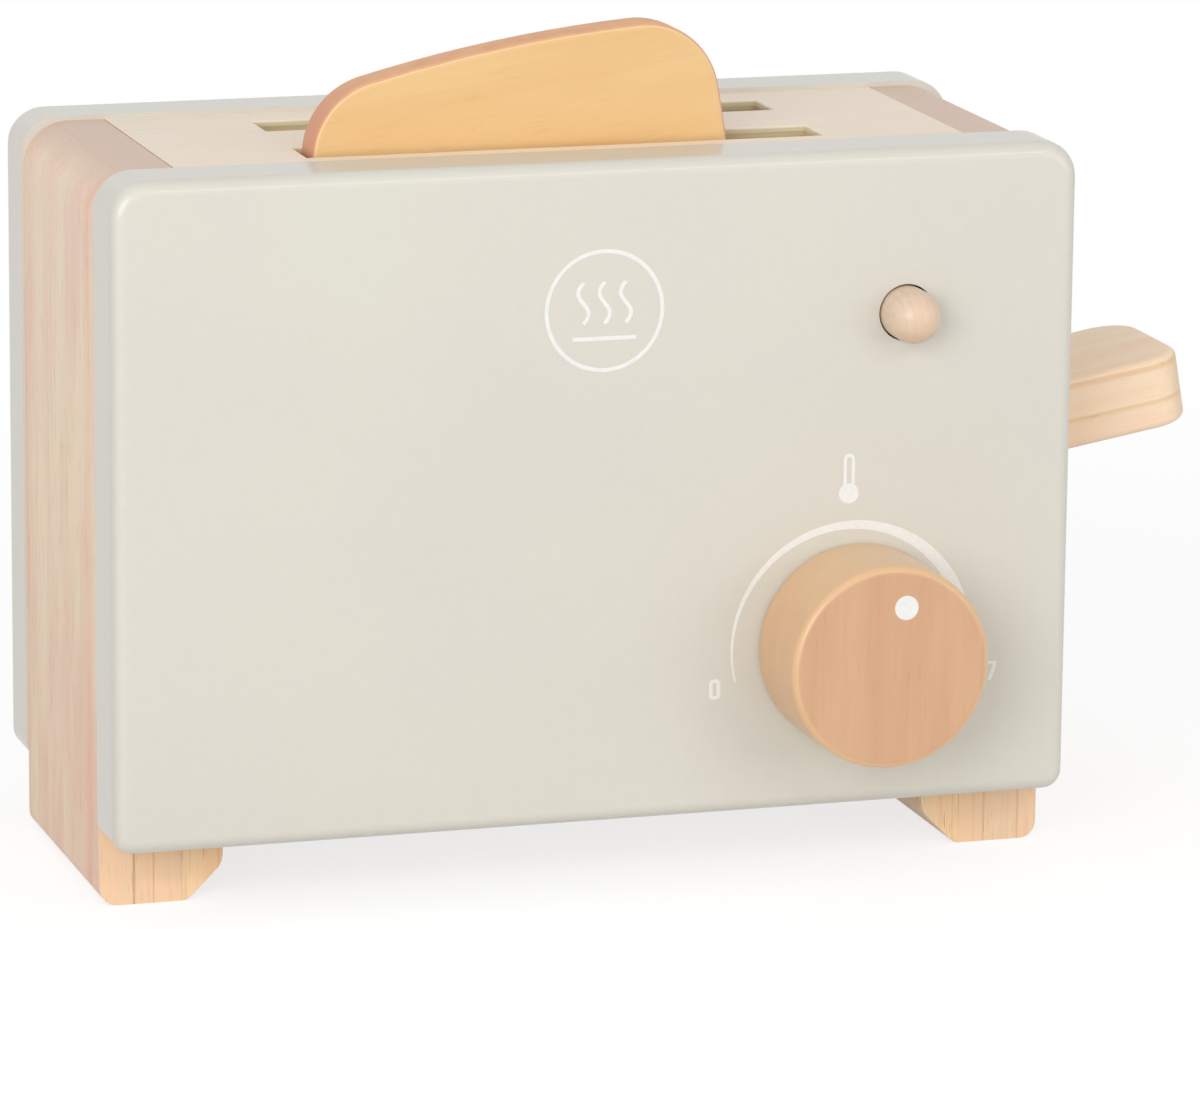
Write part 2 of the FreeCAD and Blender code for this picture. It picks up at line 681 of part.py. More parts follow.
round_edges(lever_board, "Sizes.lever_arris", lambda middle, ends:
            on_plane("z", half_board * (1 if middle.z > 0 else -1), ends + [middle])
            and middle.x > shoulder + NEAR)
pivot_bore = sketch_on(lever_board, "XZ_Plane")
circle(pivot_bore, "0", "0", "Sizes.pivot_diameter + 2 * Sizes.running_gap")
pocket(lever_board, pivot_bore)
lever_board.Placement.Rotation = FreeCAD.Rotation(FreeCAD.Vector(0, -1, 0), 1)
lever_board.setExpression("Placement.Rotation.Angle", TILT)
place(lever_board, PIVOT_X, "0", "Sizes.pivot_height")

lever_pivot_dowel = cylinder("lever_pivot_dowel", "Sizes.pivot_diameter",
                             "Sizes.inner_depth + 2 * Sizes.pivot_embed")
place(lever_pivot_dowel, PIVOT_X, "%s - Sizes.pivot_embed" % PANEL_BACK, "Sizes.pivot_height")
nodes.append(lever_pivot_dowel)

# Two turned rings keep the lever board in the middle of the dowel.
SPACER_LENGTH = "((Sizes.inner_depth - Sizes.lever_width) / 2 - Sizes.seat_gap)"
ring_blank = cylinder("ring_blank", "Sizes.spacer_diameter", SPACER_LENGTH)
ring_bore = cylinder("ring_bore", "Sizes.pivot_diameter + 2 * Sizes.glue_gap", SPACER_LENGTH)
for piece in (ring_blank, ring_bore):
    place(piece, PIVOT_X, PANEL_BACK, "Sizes.pivot_height")
nodes.append(mirrored_two("pivot_spacers", cut("pivot_spacer", ring_blank, ring_bore),
                          FreeCAD.Vector(0, 1, 0)))

# Return spring, between the base board and the underside of the lever board.
SPRING_LENGTH = ("(Sizes.pivot_height + (Sizes.spring_reach - Sizes.spring_diameter / 2) "
                 "* tan(%s) - %s / cos(%s) - Sizes.seat_gap - %s)"
                 % (TILT, LEVER_HALF, TILT, BASE_TOP))
return_spring = coil("return_spring", "Sizes.spring_diameter", "Sizes.spring_wire",
                     "Sizes.spring_pitch", SPRING_LENGTH)
place(return_spring, SPRING_X, "0", BASE_TOP)


# ---------------------------------------------------------------- dial

# Knob: a turned disc with a rounded front rim and a blind hole for its axle.
dial_knob = new_body("dial_knob")
profile = sketch_on(dial_knob, "XY_Plane")
knob_radius = "Sizes.knob_diameter / 2"
hole_radius = "(Sizes.axle_diameter / 2 + Sizes.glue_gap)"
outline(profile, [
    ("0", "-Sizes.knob_depth"), (knob_radius, "-Sizes.knob_depth"), (knob_radius, "0"),
    (hole_radius, "0"), (hole_radius, "-Sizes.axle_embed"), ("0", "-Sizes.axle_embed")])
revolve(dial_knob, profile)
round_edges(dial_knob, "Sizes.knob_rim", lambda middle, ends:
            on_plane("y", -SIZES["knob_depth"], ends + [middle])
            and middle.distanceToPoint(FreeCAD.Vector(0, middle.y, 0)) > NEAR)
round_edges(dial_knob, "Sizes.knob_back_rim", lambda middle, ends:
            on_plane("y", 0, ends + [middle])
            and middle.distanceToPoint(FreeCAD.Vector(0, 0, 0)) > SIZES["axle_diameter"],
            "Chamfer")
place(dial_knob, DIAL_X, "%s - Sizes.seat_gap" % PANEL_FACE, DIAL_Z)

dial_axle = cylinder("dial_axle", "Sizes.axle_diameter",
                     "Sizes.axle_embed - Sizes.glue_gap + Sizes.panel_thickness"
                     " + 2 * Sizes.seat_gap")
place(dial_axle, DIAL_X,
      "%s - Sizes.seat_gap - Sizes.axle_embed + Sizes.glue_gap" % PANEL_FACE, DIAL_Z)

# A steel washer and a pan-head screw in the axle's end keep the dial in the panel.
SCREW_HOLE_DEPTH = ("(Sizes.dial_screw_length - Sizes.head_height - Sizes.washer_thickness"
                    " + Sizes.drill_extra)")
axle_hole = cylinder("axle_hole", "Sizes.dial_screw_diameter + 2 * Sizes.glue_gap",
                     SCREW_HOLE_DEPTH + " + Sizes.cut_over")
place(axle_hole, DIAL_X,
      "%s + Sizes.seat_gap - %s" % (PANEL_BACK, SCREW_HOLE_DEPTH), DIAL_Z)
dial_axle.Label = "dial_axle_blank"
nodes.append(cut("dial_axle", dial_axle, axle_hole))

washer_blank = cylinder("washer_blank", "Sizes.washer_diameter", "Sizes.washer_thickness")
washer_hole = cylinder("washer_hole", "Sizes.dial_screw_diameter + 2 * Sizes.glue_gap",
                       "Sizes.washer_thickness")
for piece in (washer_blank, washer_hole):
    place(piece, DIAL_X, "%s + Sizes.seat_gap" % PANEL_BACK, DIAL_Z)
nodes.append(cut("dial_washer", washer_blank, washer_hole))

dial_screw = screw("dial_screw", "dial_screw", "Sizes.dial_screw_length", pan_head=True)
place(dial_screw, DIAL_X,
      "%s + Sizes.seat_gap + Sizes.washer_thickness + Sizes.head_height" % PANEL_BACK, DIAL_Z)
nodes.append(dial_screw)


# ---------------------------------------------------------------- button

# Button: one turned pin with a domed front end and a flange that rests behind the panel.
push_button = new_body("push_button")
profile = sketch_on(push_button, "XY_Plane")
pin_radius = "Sizes.button_diameter / 2"
flange_radius = "Sizes.button_flange / 2"
FLANGE_FRONT = "(Sizes.panel_thickness - Sizes.flange_recess)"
outline(profile, [
    ("0", "-Sizes.button_proud"), (pin_radius, "-Sizes.button_proud + " + pin_radius),
    (pin_radius, FLANGE_FRONT), (flange_radius, FLANGE_FRONT),
    (flange_radius, FLANGE_FRONT + " + Sizes.flange_thickness"),
    ("0", FLANGE_FRONT + " + Sizes.flange_thickness")],
    round_side=0, radius=pin_radius)
revolve(push_button, profile)
place(push_button, BUTTON_X, "%s + Sizes.glue_gap" % PANEL_FACE, BUTTON_Z)

# Housing: a bored block screwed behind the panel, which guides the flange and backs the spring.
button_housing = new_body("button_housing")
half = "Sizes.housing_width / 2"
block = sketch_on(button_housing, "XZ_Plane")
rectangle(block, "-" + half, "-" + half, half, half)
pad(button_housing, block, HOUSING_DEPTH, reverse=True)
housing_back = number(sheet, HOUSING_DEPTH)
round_edges(button_housing, "Sizes.board_arris * 2", lambda middle, ends:
            on_plane("y", housing_back, ends + [middle]), "Chamfer")
cup = sketch_on(button_housing, "XZ_Plane")
circle(cup, "0", "0", "Sizes.button_flange + 2 * Sizes.running_gap")
pocket(button_housing, cup, HOUSING_CUP)
offset = "Sizes.housing_screw_offset"
holes = sketch_on(button_housing, "XZ_Plane")
for sign in ("", "-"):
    circle(holes, sign + offset, sign + offset,
           "Sizes.small_screw_diameter + 2 * Sizes.glue_gap")
pocket(button_housing, holes)
for sign in ("", "-"):
    countersink(button_housing, sign + offset, sign + offset, "small_screw",
                HOUSING_DEPTH, "button_housing_countersink")
place(button_housing, BUTTON_X, PANEL_BACK, BUTTON_Z)

small_screws = []
for sign, name in (("", "upper_housing_screw"), ("-", "lower_housing_screw")):
    piece = screw(name, "small_screw", "Sizes.small_screw_length")
    place(piece, "%s + %s%s" % (BUTTON_X, sign, offset), "%s + %s" % (PANEL_BACK, HOUSING_DEPTH),
          "%s + %s%s" % (BUTTON_Z, sign, offset))
    small_screws.append(piece)
housing_screws = doc.addObject("Part::Compound", "housing_screws")
housing_screws.Links = small_screws
nodes.append(housing_screws)

# Button spring, between the flange and the floor of the housing.
FLANGE_BACK = ("(%s + Sizes.glue_gap + %s + Sizes.flange_thickness)" % (PANEL_FACE, FLANGE_FRONT))
HOUSING_FLOOR = "(%s + %s)" % (PANEL_BACK, HOUSING_CUP)
button_spring = coil("button_spring", "Sizes.button_spring_diameter",
                     "Sizes.button_spring_wire", "Sizes.button_spring_pitch",
                     "(%s - %s - Sizes.glue_gap)" % (HOUSING_FLOOR, FLANGE_BACK))
button_spring.Placement.Rotation = FreeCAD.Rotation(FreeCAD.Vector(1, 0, 0), 90)
place(button_spring, BUTTON_X, HOUSING_FLOOR, BUTTON_Z)


# ---------------------------------------------------------------- toast

# Toast: a slice with a slightly domed top and round corners, standing on the lever board.
toast_slice = new_body("toast_slice")
face = sketch_on(toast_slice, "XZ_Plane")
wall = "Sizes.toast_height - Sizes.toast_crown"
CROWN_RADIUS = ("((Sizes.toast_width / 2) ^ 2 + Sizes.toast_crown ^ 2)"
                " / (2 * Sizes.toast_crown)")
outline(face, [("0", "0"), ("Sizes.toast_width", "0"), ("Sizes.toast_width", wall),
               ("0", wall)], round_side=2, radius=CROWN_RADIUS)
pad(toast_slice, face, "Sizes.toast_thickness", both_ways=True)
half_height = SIZES["toast_height"] / 2
half_slice = SIZES["toast_thickness"] / 2
round_edges(toast_slice, "Sizes.toast_top_corner",
            lambda middle, ends: along("y", ends) and middle.z > half_height)
round_edges(toast_slice, "Sizes.toast_low_corner",
            lambda middle, ends: along("y", ends) and middle.z < NEAR)
round_edges(toast_slice, "Sizes.toast_arris", lambda middle, ends:
            on_plane("y", half_slice * (1 if middle.y > 0 else -1), ends + [middle]))
toast_slice.Placement.Rotation = FreeCAD.Rotation(FreeCAD.Vector(0, -1, 0), 1)
toast_slice.setExpression("Placement.Rotation.Angle", TILT)
RISE = "(%s + Sizes.glue_gap)" % LEVER_HALF
place(toast_slice,
      "%s + %s * cos(%s) - %s * sin(%s)" % (PIVOT_X, TOAST_REACH, TILT, RISE, TILT),
      "-Sizes.slot_spacing / 2",
      "Sizes.pivot_height + %s * sin(%s) + %s * cos(%s)" % (TOAST_REACH, TILT, RISE, TILT))


# ---------------------------------------------------------------- check and write

doc.recompute()
for item in doc.Objects:
    if "Invalid" in item.State or "Error" in item.State:
        raise RuntimeError("%s failed to recompute: %s" % (item.Label, item.State))
for node in nodes:
    if node.Shape.isNull() or not node.Shape.isValid():
        raise RuntimeError("%s has no valid shape" % node.Label)

os.makedirs("parts", exist_ok=True)
for node in nodes:
    node.Shape.exportStep(os.path.join("parts", node.Label + ".step"))
    print("%-20s %2d solids %10.1f mm3" % (node.Label, len(node.Shape.Solids), node.Shape.Volume))
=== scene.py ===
import math

import bmesh
import bpy
from mathutils import Matrix, Vector


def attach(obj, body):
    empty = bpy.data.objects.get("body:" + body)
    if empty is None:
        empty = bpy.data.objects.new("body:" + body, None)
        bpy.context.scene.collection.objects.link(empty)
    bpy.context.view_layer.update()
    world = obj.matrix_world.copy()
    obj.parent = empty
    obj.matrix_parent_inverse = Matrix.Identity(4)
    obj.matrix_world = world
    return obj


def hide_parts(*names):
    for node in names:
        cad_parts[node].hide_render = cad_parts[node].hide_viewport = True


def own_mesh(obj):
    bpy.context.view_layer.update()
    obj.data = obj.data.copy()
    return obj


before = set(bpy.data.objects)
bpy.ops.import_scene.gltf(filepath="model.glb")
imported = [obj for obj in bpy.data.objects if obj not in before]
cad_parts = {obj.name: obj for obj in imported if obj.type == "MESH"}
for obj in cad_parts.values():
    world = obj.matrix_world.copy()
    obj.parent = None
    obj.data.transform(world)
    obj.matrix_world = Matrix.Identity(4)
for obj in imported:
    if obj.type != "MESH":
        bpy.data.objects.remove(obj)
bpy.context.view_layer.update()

# ---------------------------------------------------------------- side boards, feet and cleats
# Two upright boards of rubberwood reach from the deck to the floor.  A short block glued
# inside each makes the foot wider, and a cleat below the top carries the deck.  All are sawn,
# sanded by hand and given a thin matt lacquer.

# Sizes are written in mm, and the scene is in metres.
MM = 0.001


def linear(code):
    """An sRGB hex colour as the linear red, green, blue and alpha that a socket holds."""
    channels = [int(code[place:place + 2], 16) / 255 for place in (1, 3, 5)]
    return [value / 12.92 if value <= 0.04045 else ((value + 0.055) / 1.055) ** 2.4
            for value in channels] + [1.0]


def node(tree, kind, inputs=None, stops=(), **settings):
    """A node in a tree, with its settings and its inputs.

    An input is a value, another node's output, another node, which means its first output, or
    a tuple of nodes, which are all joined to it.
    stops are a colour ramp's pairs of a place and a hex colour or a grey value.
    """
    made = tree.nodes.new(kind)
    for name, value in settings.items():
        setattr(made, name, value)
    for key, value in (inputs or {}).items():
        several = isinstance(value, tuple) and isinstance(value[0], bpy.types.Node)
        for source in value if several else (value,):
            if isinstance(source, bpy.types.Node):
                source = source.outputs[0]
            if isinstance(source, bpy.types.NodeSocket):
                tree.links.new(source, made.inputs[key])
            else:
                made.inputs[key].default_value = source
    while stops and len(made.color_ramp.elements) < len(stops):
        made.color_ramp.elements.new(0.5)
    for number, (place, tone) in enumerate(stops):
        stop = made.color_ramp.elements[number]
        stop.position = place
        stop.color = linear(tone) if isinstance(tone, str) else [tone, tone, tone, 1.0]
    return made


def blank_material(name):
    """A material with an empty tree, and the tree's coordinates of the piece that wears it."""
    material = bpy.data.materials.new(name)
    material.use_nodes = True
    material.node_tree.nodes.clear()
    return material, material.node_tree, node(material.node_tree, "ShaderNodeTexCoord")


# Sizes in mm of what shows in solid wood: the length of a tint, the width and length of the
# slow bend of the fibres, how far it sways rings, layers and veins, the width and length of
# fibre bundles and of pores, and the height of the bundles, against which pores sink.  Real
# bundles are 0.3 mm wide and real pores 0.2 mm: both are drawn coarser, so that they show.
TINT_LENGTH = 65
BEND_WIDTH = 45
BEND_LENGTH = 240
RING_SWAY = 9
LAYER_SWAY = 3.0
VEIN_SWAY = 4.0
FIBRE_WIDTH = 0.9
FIBRE_LENGTH = 34
PORE_WIDTH = 0.4
PORE_LENGTH = 7.0
FIBRE_HEIGHT = 0.06
PORE_SINK = -1.4


def timber(name, pale, warm, late, pore, grain=(0, 0, 1), pith=(70, 110, 0), ring=3.4,
           ring_depth=0.5, streak=9.0, fibre_depth=0.42, pore_depth=0.35, end_tone=None,
           roughness=0.5, coat=0.1, layers=None, veins=()):
    """Solid wood as a log has it: growth rings about a pith, and fibres along the grain.

    grain is the direction of the fibres, and pith the distance, in mm, of the log's middle
    from the frame's.  ring and streak are the widths in mm of a growth ring and of a tint.  A
    face across the grain shows end grain by itself, with arcs of rings and a darker tone.
    layers are the tones across a thin board instead, with the board's middle and its half
    thickness in mm along the normal of its face.  Each of the veins is one coloured sheet in
    the log: its normal, its place and half thickness in mm along it, its tone and its depth.
    """
    material, tree, place = blank_material(name)
    turn = Vector(grain).rotation_difference(Vector((0, 0, 1))).to_euler()
    log = node(tree, "ShaderNodeMapping", {
        "Vector": place.outputs["Object"], "Location": Vector(pith), "Rotation": turn,
        "Scale": (1000, 1000, 1000)})

    def drawn_out(width, length, detail, rough=0.5):
        """Noise drawn out along the grain, with a width and a length in mm."""
        scaled = node(tree, "ShaderNodeVectorMath", {
            0: log, 1: (1 / width, 1 / width, 1 / length)}, operation="MULTIPLY")
        return node(tree, "ShaderNodeTexNoise", {
            "Vector": scaled, "Scale": 1.0, "Detail": detail, "Roughness": rough})

    tint = drawn_out(streak, TINT_LENGTH, 3)
    colour = node(tree, "ShaderNodeValToRGB", {"Fac": tint}, stops=[(0.38, pale), (0.62, warm)])
    bend = drawn_out(BEND_WIDTH, BEND_LENGTH, 1)

    def level_along(normal, sway):
        """How far along a normal a point lies, in mm, swayed by the bend of the fibres."""
        level = node(tree, "ShaderNodeVectorMath", {
            0: place.outputs["Object"], 1: Vector(normal) * 1000}, operation="DOT_PRODUCT")
        return node(tree, "ShaderNodeMath", {
            0: bend, 1: sway, 2: level.outputs["Value"]}, operation="MULTIPLY_ADD")

    if layers:
        normal, middle, half, tones = layers
        across = node(tree, "ShaderNodeMapRange", {
            "Value": level_along(normal, LAYER_SWAY),
            "From Min": middle - half + LAYER_SWAY / 2,
            "From Max": middle + half + LAYER_SWAY / 2})
        ring_share = node(tree, "ShaderNodeValToRGB", {"Fac": across}, stops=tones)
    else:
        sway = node(tree, "ShaderNodeVectorMath", {
            0: bend.outputs["Color"], 1: (RING_SWAY, RING_SWAY, 0), 2: log},
            operation="MULTIPLY_ADD")
        across = node(tree, "ShaderNodeVectorMath", {
            0: sway, 1: (1, 1, 0)}, operation="MULTIPLY")
        radius = node(tree, "ShaderNodeVectorMath", {0: across}, operation="LENGTH")
        years = node(tree, "ShaderNodeMath", {
            0: radius.outputs["Value"], 1: 1 / ring}, operation="MULTIPLY")
        year = node(tree, "ShaderNodeMath", {0: years}, operation="FLOOR")
        season = node(tree, "ShaderNodeMath", {0: years}, operation="FRACT")
        band = node(tree, "ShaderNodeValToRGB", {"Fac": season},
                    stops=[(0.0, 0.0), (0.5, 0.12), (0.86, 1.0), (1.0, 0.0)])
        each = node(tree, "ShaderNodeTexWhiteNoise", {"W": year}, noise_dimensions="1D")
        depth = node(tree, "ShaderNodeMath", {
            0: each.outputs["Value"], 1: ring_depth}, operation="MULTIPLY")
        ring_share = node(tree, "ShaderNodeMath", {0: band, 1: depth}, operation="MULTIPLY")
    fibre = drawn_out(FIBRE_WIDTH, FIBRE_LENGTH, 2, 0.6)
    fibre_share = node(tree, "ShaderNodeValToRGB", {"Fac": fibre},
                       stops=[(0.56, 0.0), (0.78, fibre_depth)])
    pores = drawn_out(PORE_WIDTH, PORE_LENGTH, 1)
    pore_share = node(tree, "ShaderNodeValToRGB", {"Fac": pores},
                      stops=[(0.64, 0.0), (0.74, pore_depth)])
    facing = node(tree, "ShaderNodeVectorMath", {
        0: place.outputs["Normal"], 1: Vector(grain).normalized()}, operation="DOT_PRODUCT")
    squarely = node(tree, "ShaderNodeMath", {0: facing.outputs["Value"]}, operation="ABSOLUTE")
    end_share = node(tree, "ShaderNodeValToRGB", {"Fac": squarely},
                     stops=[(0.5, 0.0), (0.95, 0.93)])
    shares = [(end_share, end_tone or late), (ring_share, late), (fibre_share, late),
              (pore_share, pore)]
    # A vein fades out on both sides, and is fainter where the wood's tint is pale.
    for normal, middle, half, tone, depth in veins:
        away = node(tree, "ShaderNodeMath", {
            0: level_along(normal, VEIN_SWAY), 1: middle + VEIN_SWAY / 2}, operation="SUBTRACT")
        apart = node(tree, "ShaderNodeMath", {0: away}, operation="ABSOLUTE")
        patchy = node(tree, "ShaderNodeMapRange", {
            "Value": tint, "From Min": 0.35, "From Max": 0.6,
            "To Min": 0.45 * depth, "To Max": depth})
        vein = node(tree, "ShaderNodeMapRange", {
            "Value": apart, "From Max": 2 * half, "To Min": patchy, "To Max": 0.0},
            interpolation_type="SMOOTHSTEP")
        shares.insert(0, (vein, tone))
    for share, tone in shares:
        colour = node(tree, "ShaderNodeMix", {
            "Factor": share, 6: colour, 7: linear(tone)}, data_type="RGBA").outputs[2]
    sheen = node(tree, "ShaderNodeMapRange", {
        "Value": fibre, "To Min": roughness - 0.08, "To Max": roughness + 0.08})
    relief = node(tree, "ShaderNodeMath", {
        0: pore_share, 1: PORE_SINK, 2: fibre}, operation="MULTIPLY_ADD")
    bump = node(tree, "ShaderNodeBump", {
        "Height": relief, "Strength": 0.35, "Distance": FIBRE_HEIGHT * MM})
    shader = node(tree, "ShaderNodeBsdfPrincipled", {
        "Base Color": colour, "Roughness": sheen, "Normal": bump,
        "Coat Weight": coat, "Coat Roughness": 0.35})
    node(tree, "ShaderNodeOutputMaterial", {"Surface": shader})
    return material


def finish_nodes(material, *names):
    """Gives pieces that keep their own shape their finish."""
    for name in names:
        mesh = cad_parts[name].data
        mesh.materials.clear()
        mesh.materials.append(material)


def in_scene(name, data):
    """A new object in the scene, which holds a mesh, a lamp or a camera."""
    holder = bpy.data.objects.new(name, data)
    bpy.context.scene.collection.objects.link(holder)
    return holder


def made_plain(piece):
    """Turns a piece into the plain mesh that its modifiers make."""
    shaped = bpy.data.meshes.new_from_object(
        piece.evaluated_get(bpy.context.evaluated_depsgraph_get()))
    piece.modifiers.clear()
    piece.data = shaped
    return shaped


# How far from a chamfer's edge, in mm, sanding starts to round it, to a radius of about 4 mm,
# and how near, in mm, two points are one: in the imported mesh, which is loose triangles, and
# where two bevels meet.
SANDED_BACK = 1.7
LOOSE_POINTS = 0.002
BEVEL_POINTS = 0.01


def eased(name, material, radius):
    """A sawn piece with eased edges, which stands for the sharp-edged one."""
    piece = in_scene(name + "_sanded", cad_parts[name].data.copy())
    if "custom_normal" in piece.data.attributes:
        piece.data.attributes.remove(piece.data.attributes["custom_normal"])
    edit = bmesh.new()
    edit.from_mesh(piece.data)
    bmesh.ops.remove_doubles(edit, verts=edit.verts, dist=LOOSE_POINTS * MM)
    bmesh.ops.dissolve_limit(edit, angle_limit=math.radians(0.4), verts=edit.verts,
                             edges=edit.edges)
    chamfered = [edge for edge in edit.edges
                 if math.radians(40) < edge.calc_face_angle() < math.radians(50)]
    bmesh.ops.bevel(edit, geom=chamfered, offset=SANDED_BACK * MM, offset_type="OFFSET",
                    segments=6, profile=0.5, affect="EDGES")
    for face in edit.faces:
        face.smooth = True
    edit.to_mesh(piece.data)
    edit.free()
    easing = piece.modifiers.new("eased", "BEVEL")
    easing.width = radius
    easing.segments = 3
    easing.limit_method = "ANGLE"
    easing.angle_limit = math.radians(38)
    easing.harden_normals = True
    shaped = made_plain(piece)
    edit = bmesh.new()
    edit.from_mesh(shaped)
    bmesh.ops.remove_doubles(edit, verts=edit.verts, dist=BEVEL_POINTS * MM)
    bmesh.ops.dissolve_degenerate(edit, edges=edit.edges, dist=BEVEL_POINTS * MM)
    edit.to_mesh(shaped)
    edit.free()
    shaped.materials.clear()
    shaped.materials.append(material)
    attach(piece, "root")
    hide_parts(name)


# Rubberwood, sanded and lacquered matt: warm cream with peach tints that run up the board, a
# few sparse flecks, a salmon vein near the front and brown ones in the foot, browner towards
# the floor, and a pinkish brown top end where the saw cut across the fibres.  The pale sheet
# at the front face is painted light, which brightens the feet where the panel above shades
# them.
rubberwood = timber(
    "Rubberwood_sanded_matt", pale="#EDD9BB", warm="#EAC9B4", late="#D6AC8A", pore="#A0704C",
    streak=13.0, ring_depth=0.16, fibre_depth=0.4, pore_depth=0.4, end_tone="#DDC2AF",
    veins=[((0, 1, 0), -23.8, 2.3, "#E9A083", 0.5), ((1, 0, 0), -93.0, 0.2, "#7E4E2C", 0.8),
           ((1, 0, 0), -88.8, 0.15, "#B67F52", 0.5), ((1, 0, 0), 88.0, 0.2, "#A87046", 0.5),
           ((1, 0, 0), 95.5, 0.2, "#A87046", 0.45), ((0, 1, 0), -32.0, 1.0, "#FDD5AA", 0.9),
           ((0, 0, 1), 0.0, 72.0, "#D9B093", 0.55)])
finish_nodes(rubberwood, "left_side_board", "right_side_board")

# Rubberwood offcuts, sanded: the same wood with browner growth rings close together, made
# paler as painted light for the feet, which the panel above shades.
offcut = timber("Rubberwood_offcut_sanded", pale="#FCDBAE", warm="#FACFA2", late="#D29362",
                pore="#8E5A34", pith=(-40, 60, 0), ring=2.3, streak=5.0, ring_depth=0.35,
                fibre_depth=0.5, pore_depth=0.5, end_tone="#DBC0AC")
for name in ("left_foot_block", "right_foot_block", "left_deck_cleat", "right_deck_cleat"):
    eased(name, offcut, 0.15 * MM)


# ---------------------------------------------------------------- deck and base board
# The deck and the base are birch plywood.  The two slots are routed through the deck, so that
# the plies show as bands in their walls.

DECK_LOW = 142.0
DECK_PLY = 1.2
BASE_LOW = 18.0
BASE_PLY = 1.6
# Marks per metre of the veneer's figure: 33 mm long, and 1.1 mm broad so that they show.
FIGURE_MARKS = (30, 900, 900)


def plywood(name, low, ply):
    """Plywood lying flat: a pale veneer above and below, and bands of plies in the edges.

    low is the height of its underside and ply the thickness of one ply, in mm.
    """
    material, tree, place = blank_material(name)
    axes = node(tree, "ShaderNodeSeparateXYZ", {"Vector": place.outputs["Object"]})
    level = node(tree, "ShaderNodeMath", {
        0: axes.outputs["Z"], 1: 1000 / ply, 2: -low / ply}, operation="MULTIPLY_ADD")
    pair = node(tree, "ShaderNodeMath", {0: level, 1: 2.0}, operation="MODULO")
    halved = node(tree, "ShaderNodeMath", {0: pair, 1: 0.5}, operation="MULTIPLY")
    bands = node(tree, "ShaderNodeValToRGB", {"Fac": halved}, stops=[
        (0.0, "#C3AA7C"), (0.05, "#F4E8C8"), (0.44, "#F2E4C1"), (0.5, "#B89D6F"),
        (0.56, "#E4D0A6"), (0.96, "#DFC99D")])
    stretched = node(tree, "ShaderNodeMapping", {
        "Vector": place.outputs["Object"], "Scale": FIGURE_MARKS})
    figure = node(tree, "ShaderNodeTexNoise", {
        "Vector": stretched, "Scale": 1.0, "Detail": 4.0, "Roughness": 0.55})
    veneer = node(tree, "ShaderNodeValToRGB", {"Fac": figure}, stops=[
        (0.3, "#F5E6D0"), (0.5, "#FBEBD8"), (0.7, "#FCEEDC")])
    grained = node(tree, "ShaderNodeMapRange", {
        "Value": figure, "From Min": 0.3, "From Max": 0.7, "To Min": 0.78, "To Max": 1.08})
    edge = node(tree, "ShaderNodeVectorMath", {0: bands, "Scale": grained}, operation="SCALE")
    normal = node(tree, "ShaderNodeSeparateXYZ", {"Vector": place.outputs["Normal"]})
    flat = node(tree, "ShaderNodeMath", {0: normal.outputs["Z"]}, operation="ABSOLUTE")
    flatness = node(tree, "ShaderNodeValToRGB", {"Fac": flat}, stops=[(0.6, 0.0), (0.8, 1.0)])
    colour = node(tree, "ShaderNodeMix", {
        "Factor": flatness, 6: edge, 7: veneer}, data_type="RGBA")
    sheen = node(tree, "ShaderNodeMapRange", {"Value": figure, "To Min": 0.48, "To Max": 0.62})
    bump = node(tree, "ShaderNodeBump", {
        "Height": figure, "Strength": 0.25, "Distance": 0.05 * MM})
    shader = node(tree, "ShaderNodeBsdfPrincipled", {
        "Base Color": colour.outputs[2], "Roughness": sheen,
        "Normal": bump, "Coat Weight": 0.08, "Coat Roughness": 0.4})
    node(tree, "ShaderNodeOutputMaterial", {"Surface": shader})
    return material


# Birch plywood, sanded and lacquered: nearly plain cream on its faces, and olive-yellow and
# brown bands with dark glue lines where it is cut.
finish_nodes(plywood("Birch_plywood_deck_lacquered", DECK_LOW, DECK_PLY), "top_deck")
finish_nodes(plywood("Birch_plywood_base_raw", BASE_LOW, BASE_PLY), "base_board")


# ---------------------------------------------------------------- dowels of the front panel
# Four fluted beech dowels, pressed and glued half in the front panel and half in the side
# boards.  The flutes let the glue out, and both ends are chamfered.

PANEL_BACK = -32.0
DOWEL_EMBED = 12.0
DOWEL_LENGTH = 22.0
DOWEL_END_SHARE = 0.82
FIXING_X = 91.0
FIXING_HEIGHTS = (38.0, 125.0)


def grown_tree(name, **sizes):
    """A geometry tree with a named number for each size, its inputs node and its output."""
    tree = bpy.data.node_groups.new(name, "GeometryNodeTree")
    tree.interface.new_socket("Points", in_out="INPUT", socket_type="NodeSocketGeometry")
    for label, value in sizes.items():
        kind = "NodeSocketInt" if isinstance(value, int) else "NodeSocketFloat"
        size = tree.interface.new_socket(label, in_out="INPUT", socket_type=kind)
        size.default_value = value
    tree.interface.new_socket("Material", in_out="INPUT", socket_type="NodeSocketMaterial")
    tree.interface.new_socket("Made", in_out="OUTPUT", socket_type="NodeSocketGeometry")
    return tree, node(tree, "NodeGroupInput").outputs


def close_tree(tree, made, given):
    """Ends a geometry tree with smooth faces, real geometry and the material given to it."""
    smooth = node(tree, "GeometryNodeSetShadeSmooth", {"Geometry": made})
    real = node(tree, "GeometryNodeRealizeInstances", {"Geometry": smooth})
    worn = node(tree, "GeometryNodeSetMaterial", {
        "Geometry": real, "Material": given["Material"]})
    node(tree, "NodeGroupOutput", {0: worn})


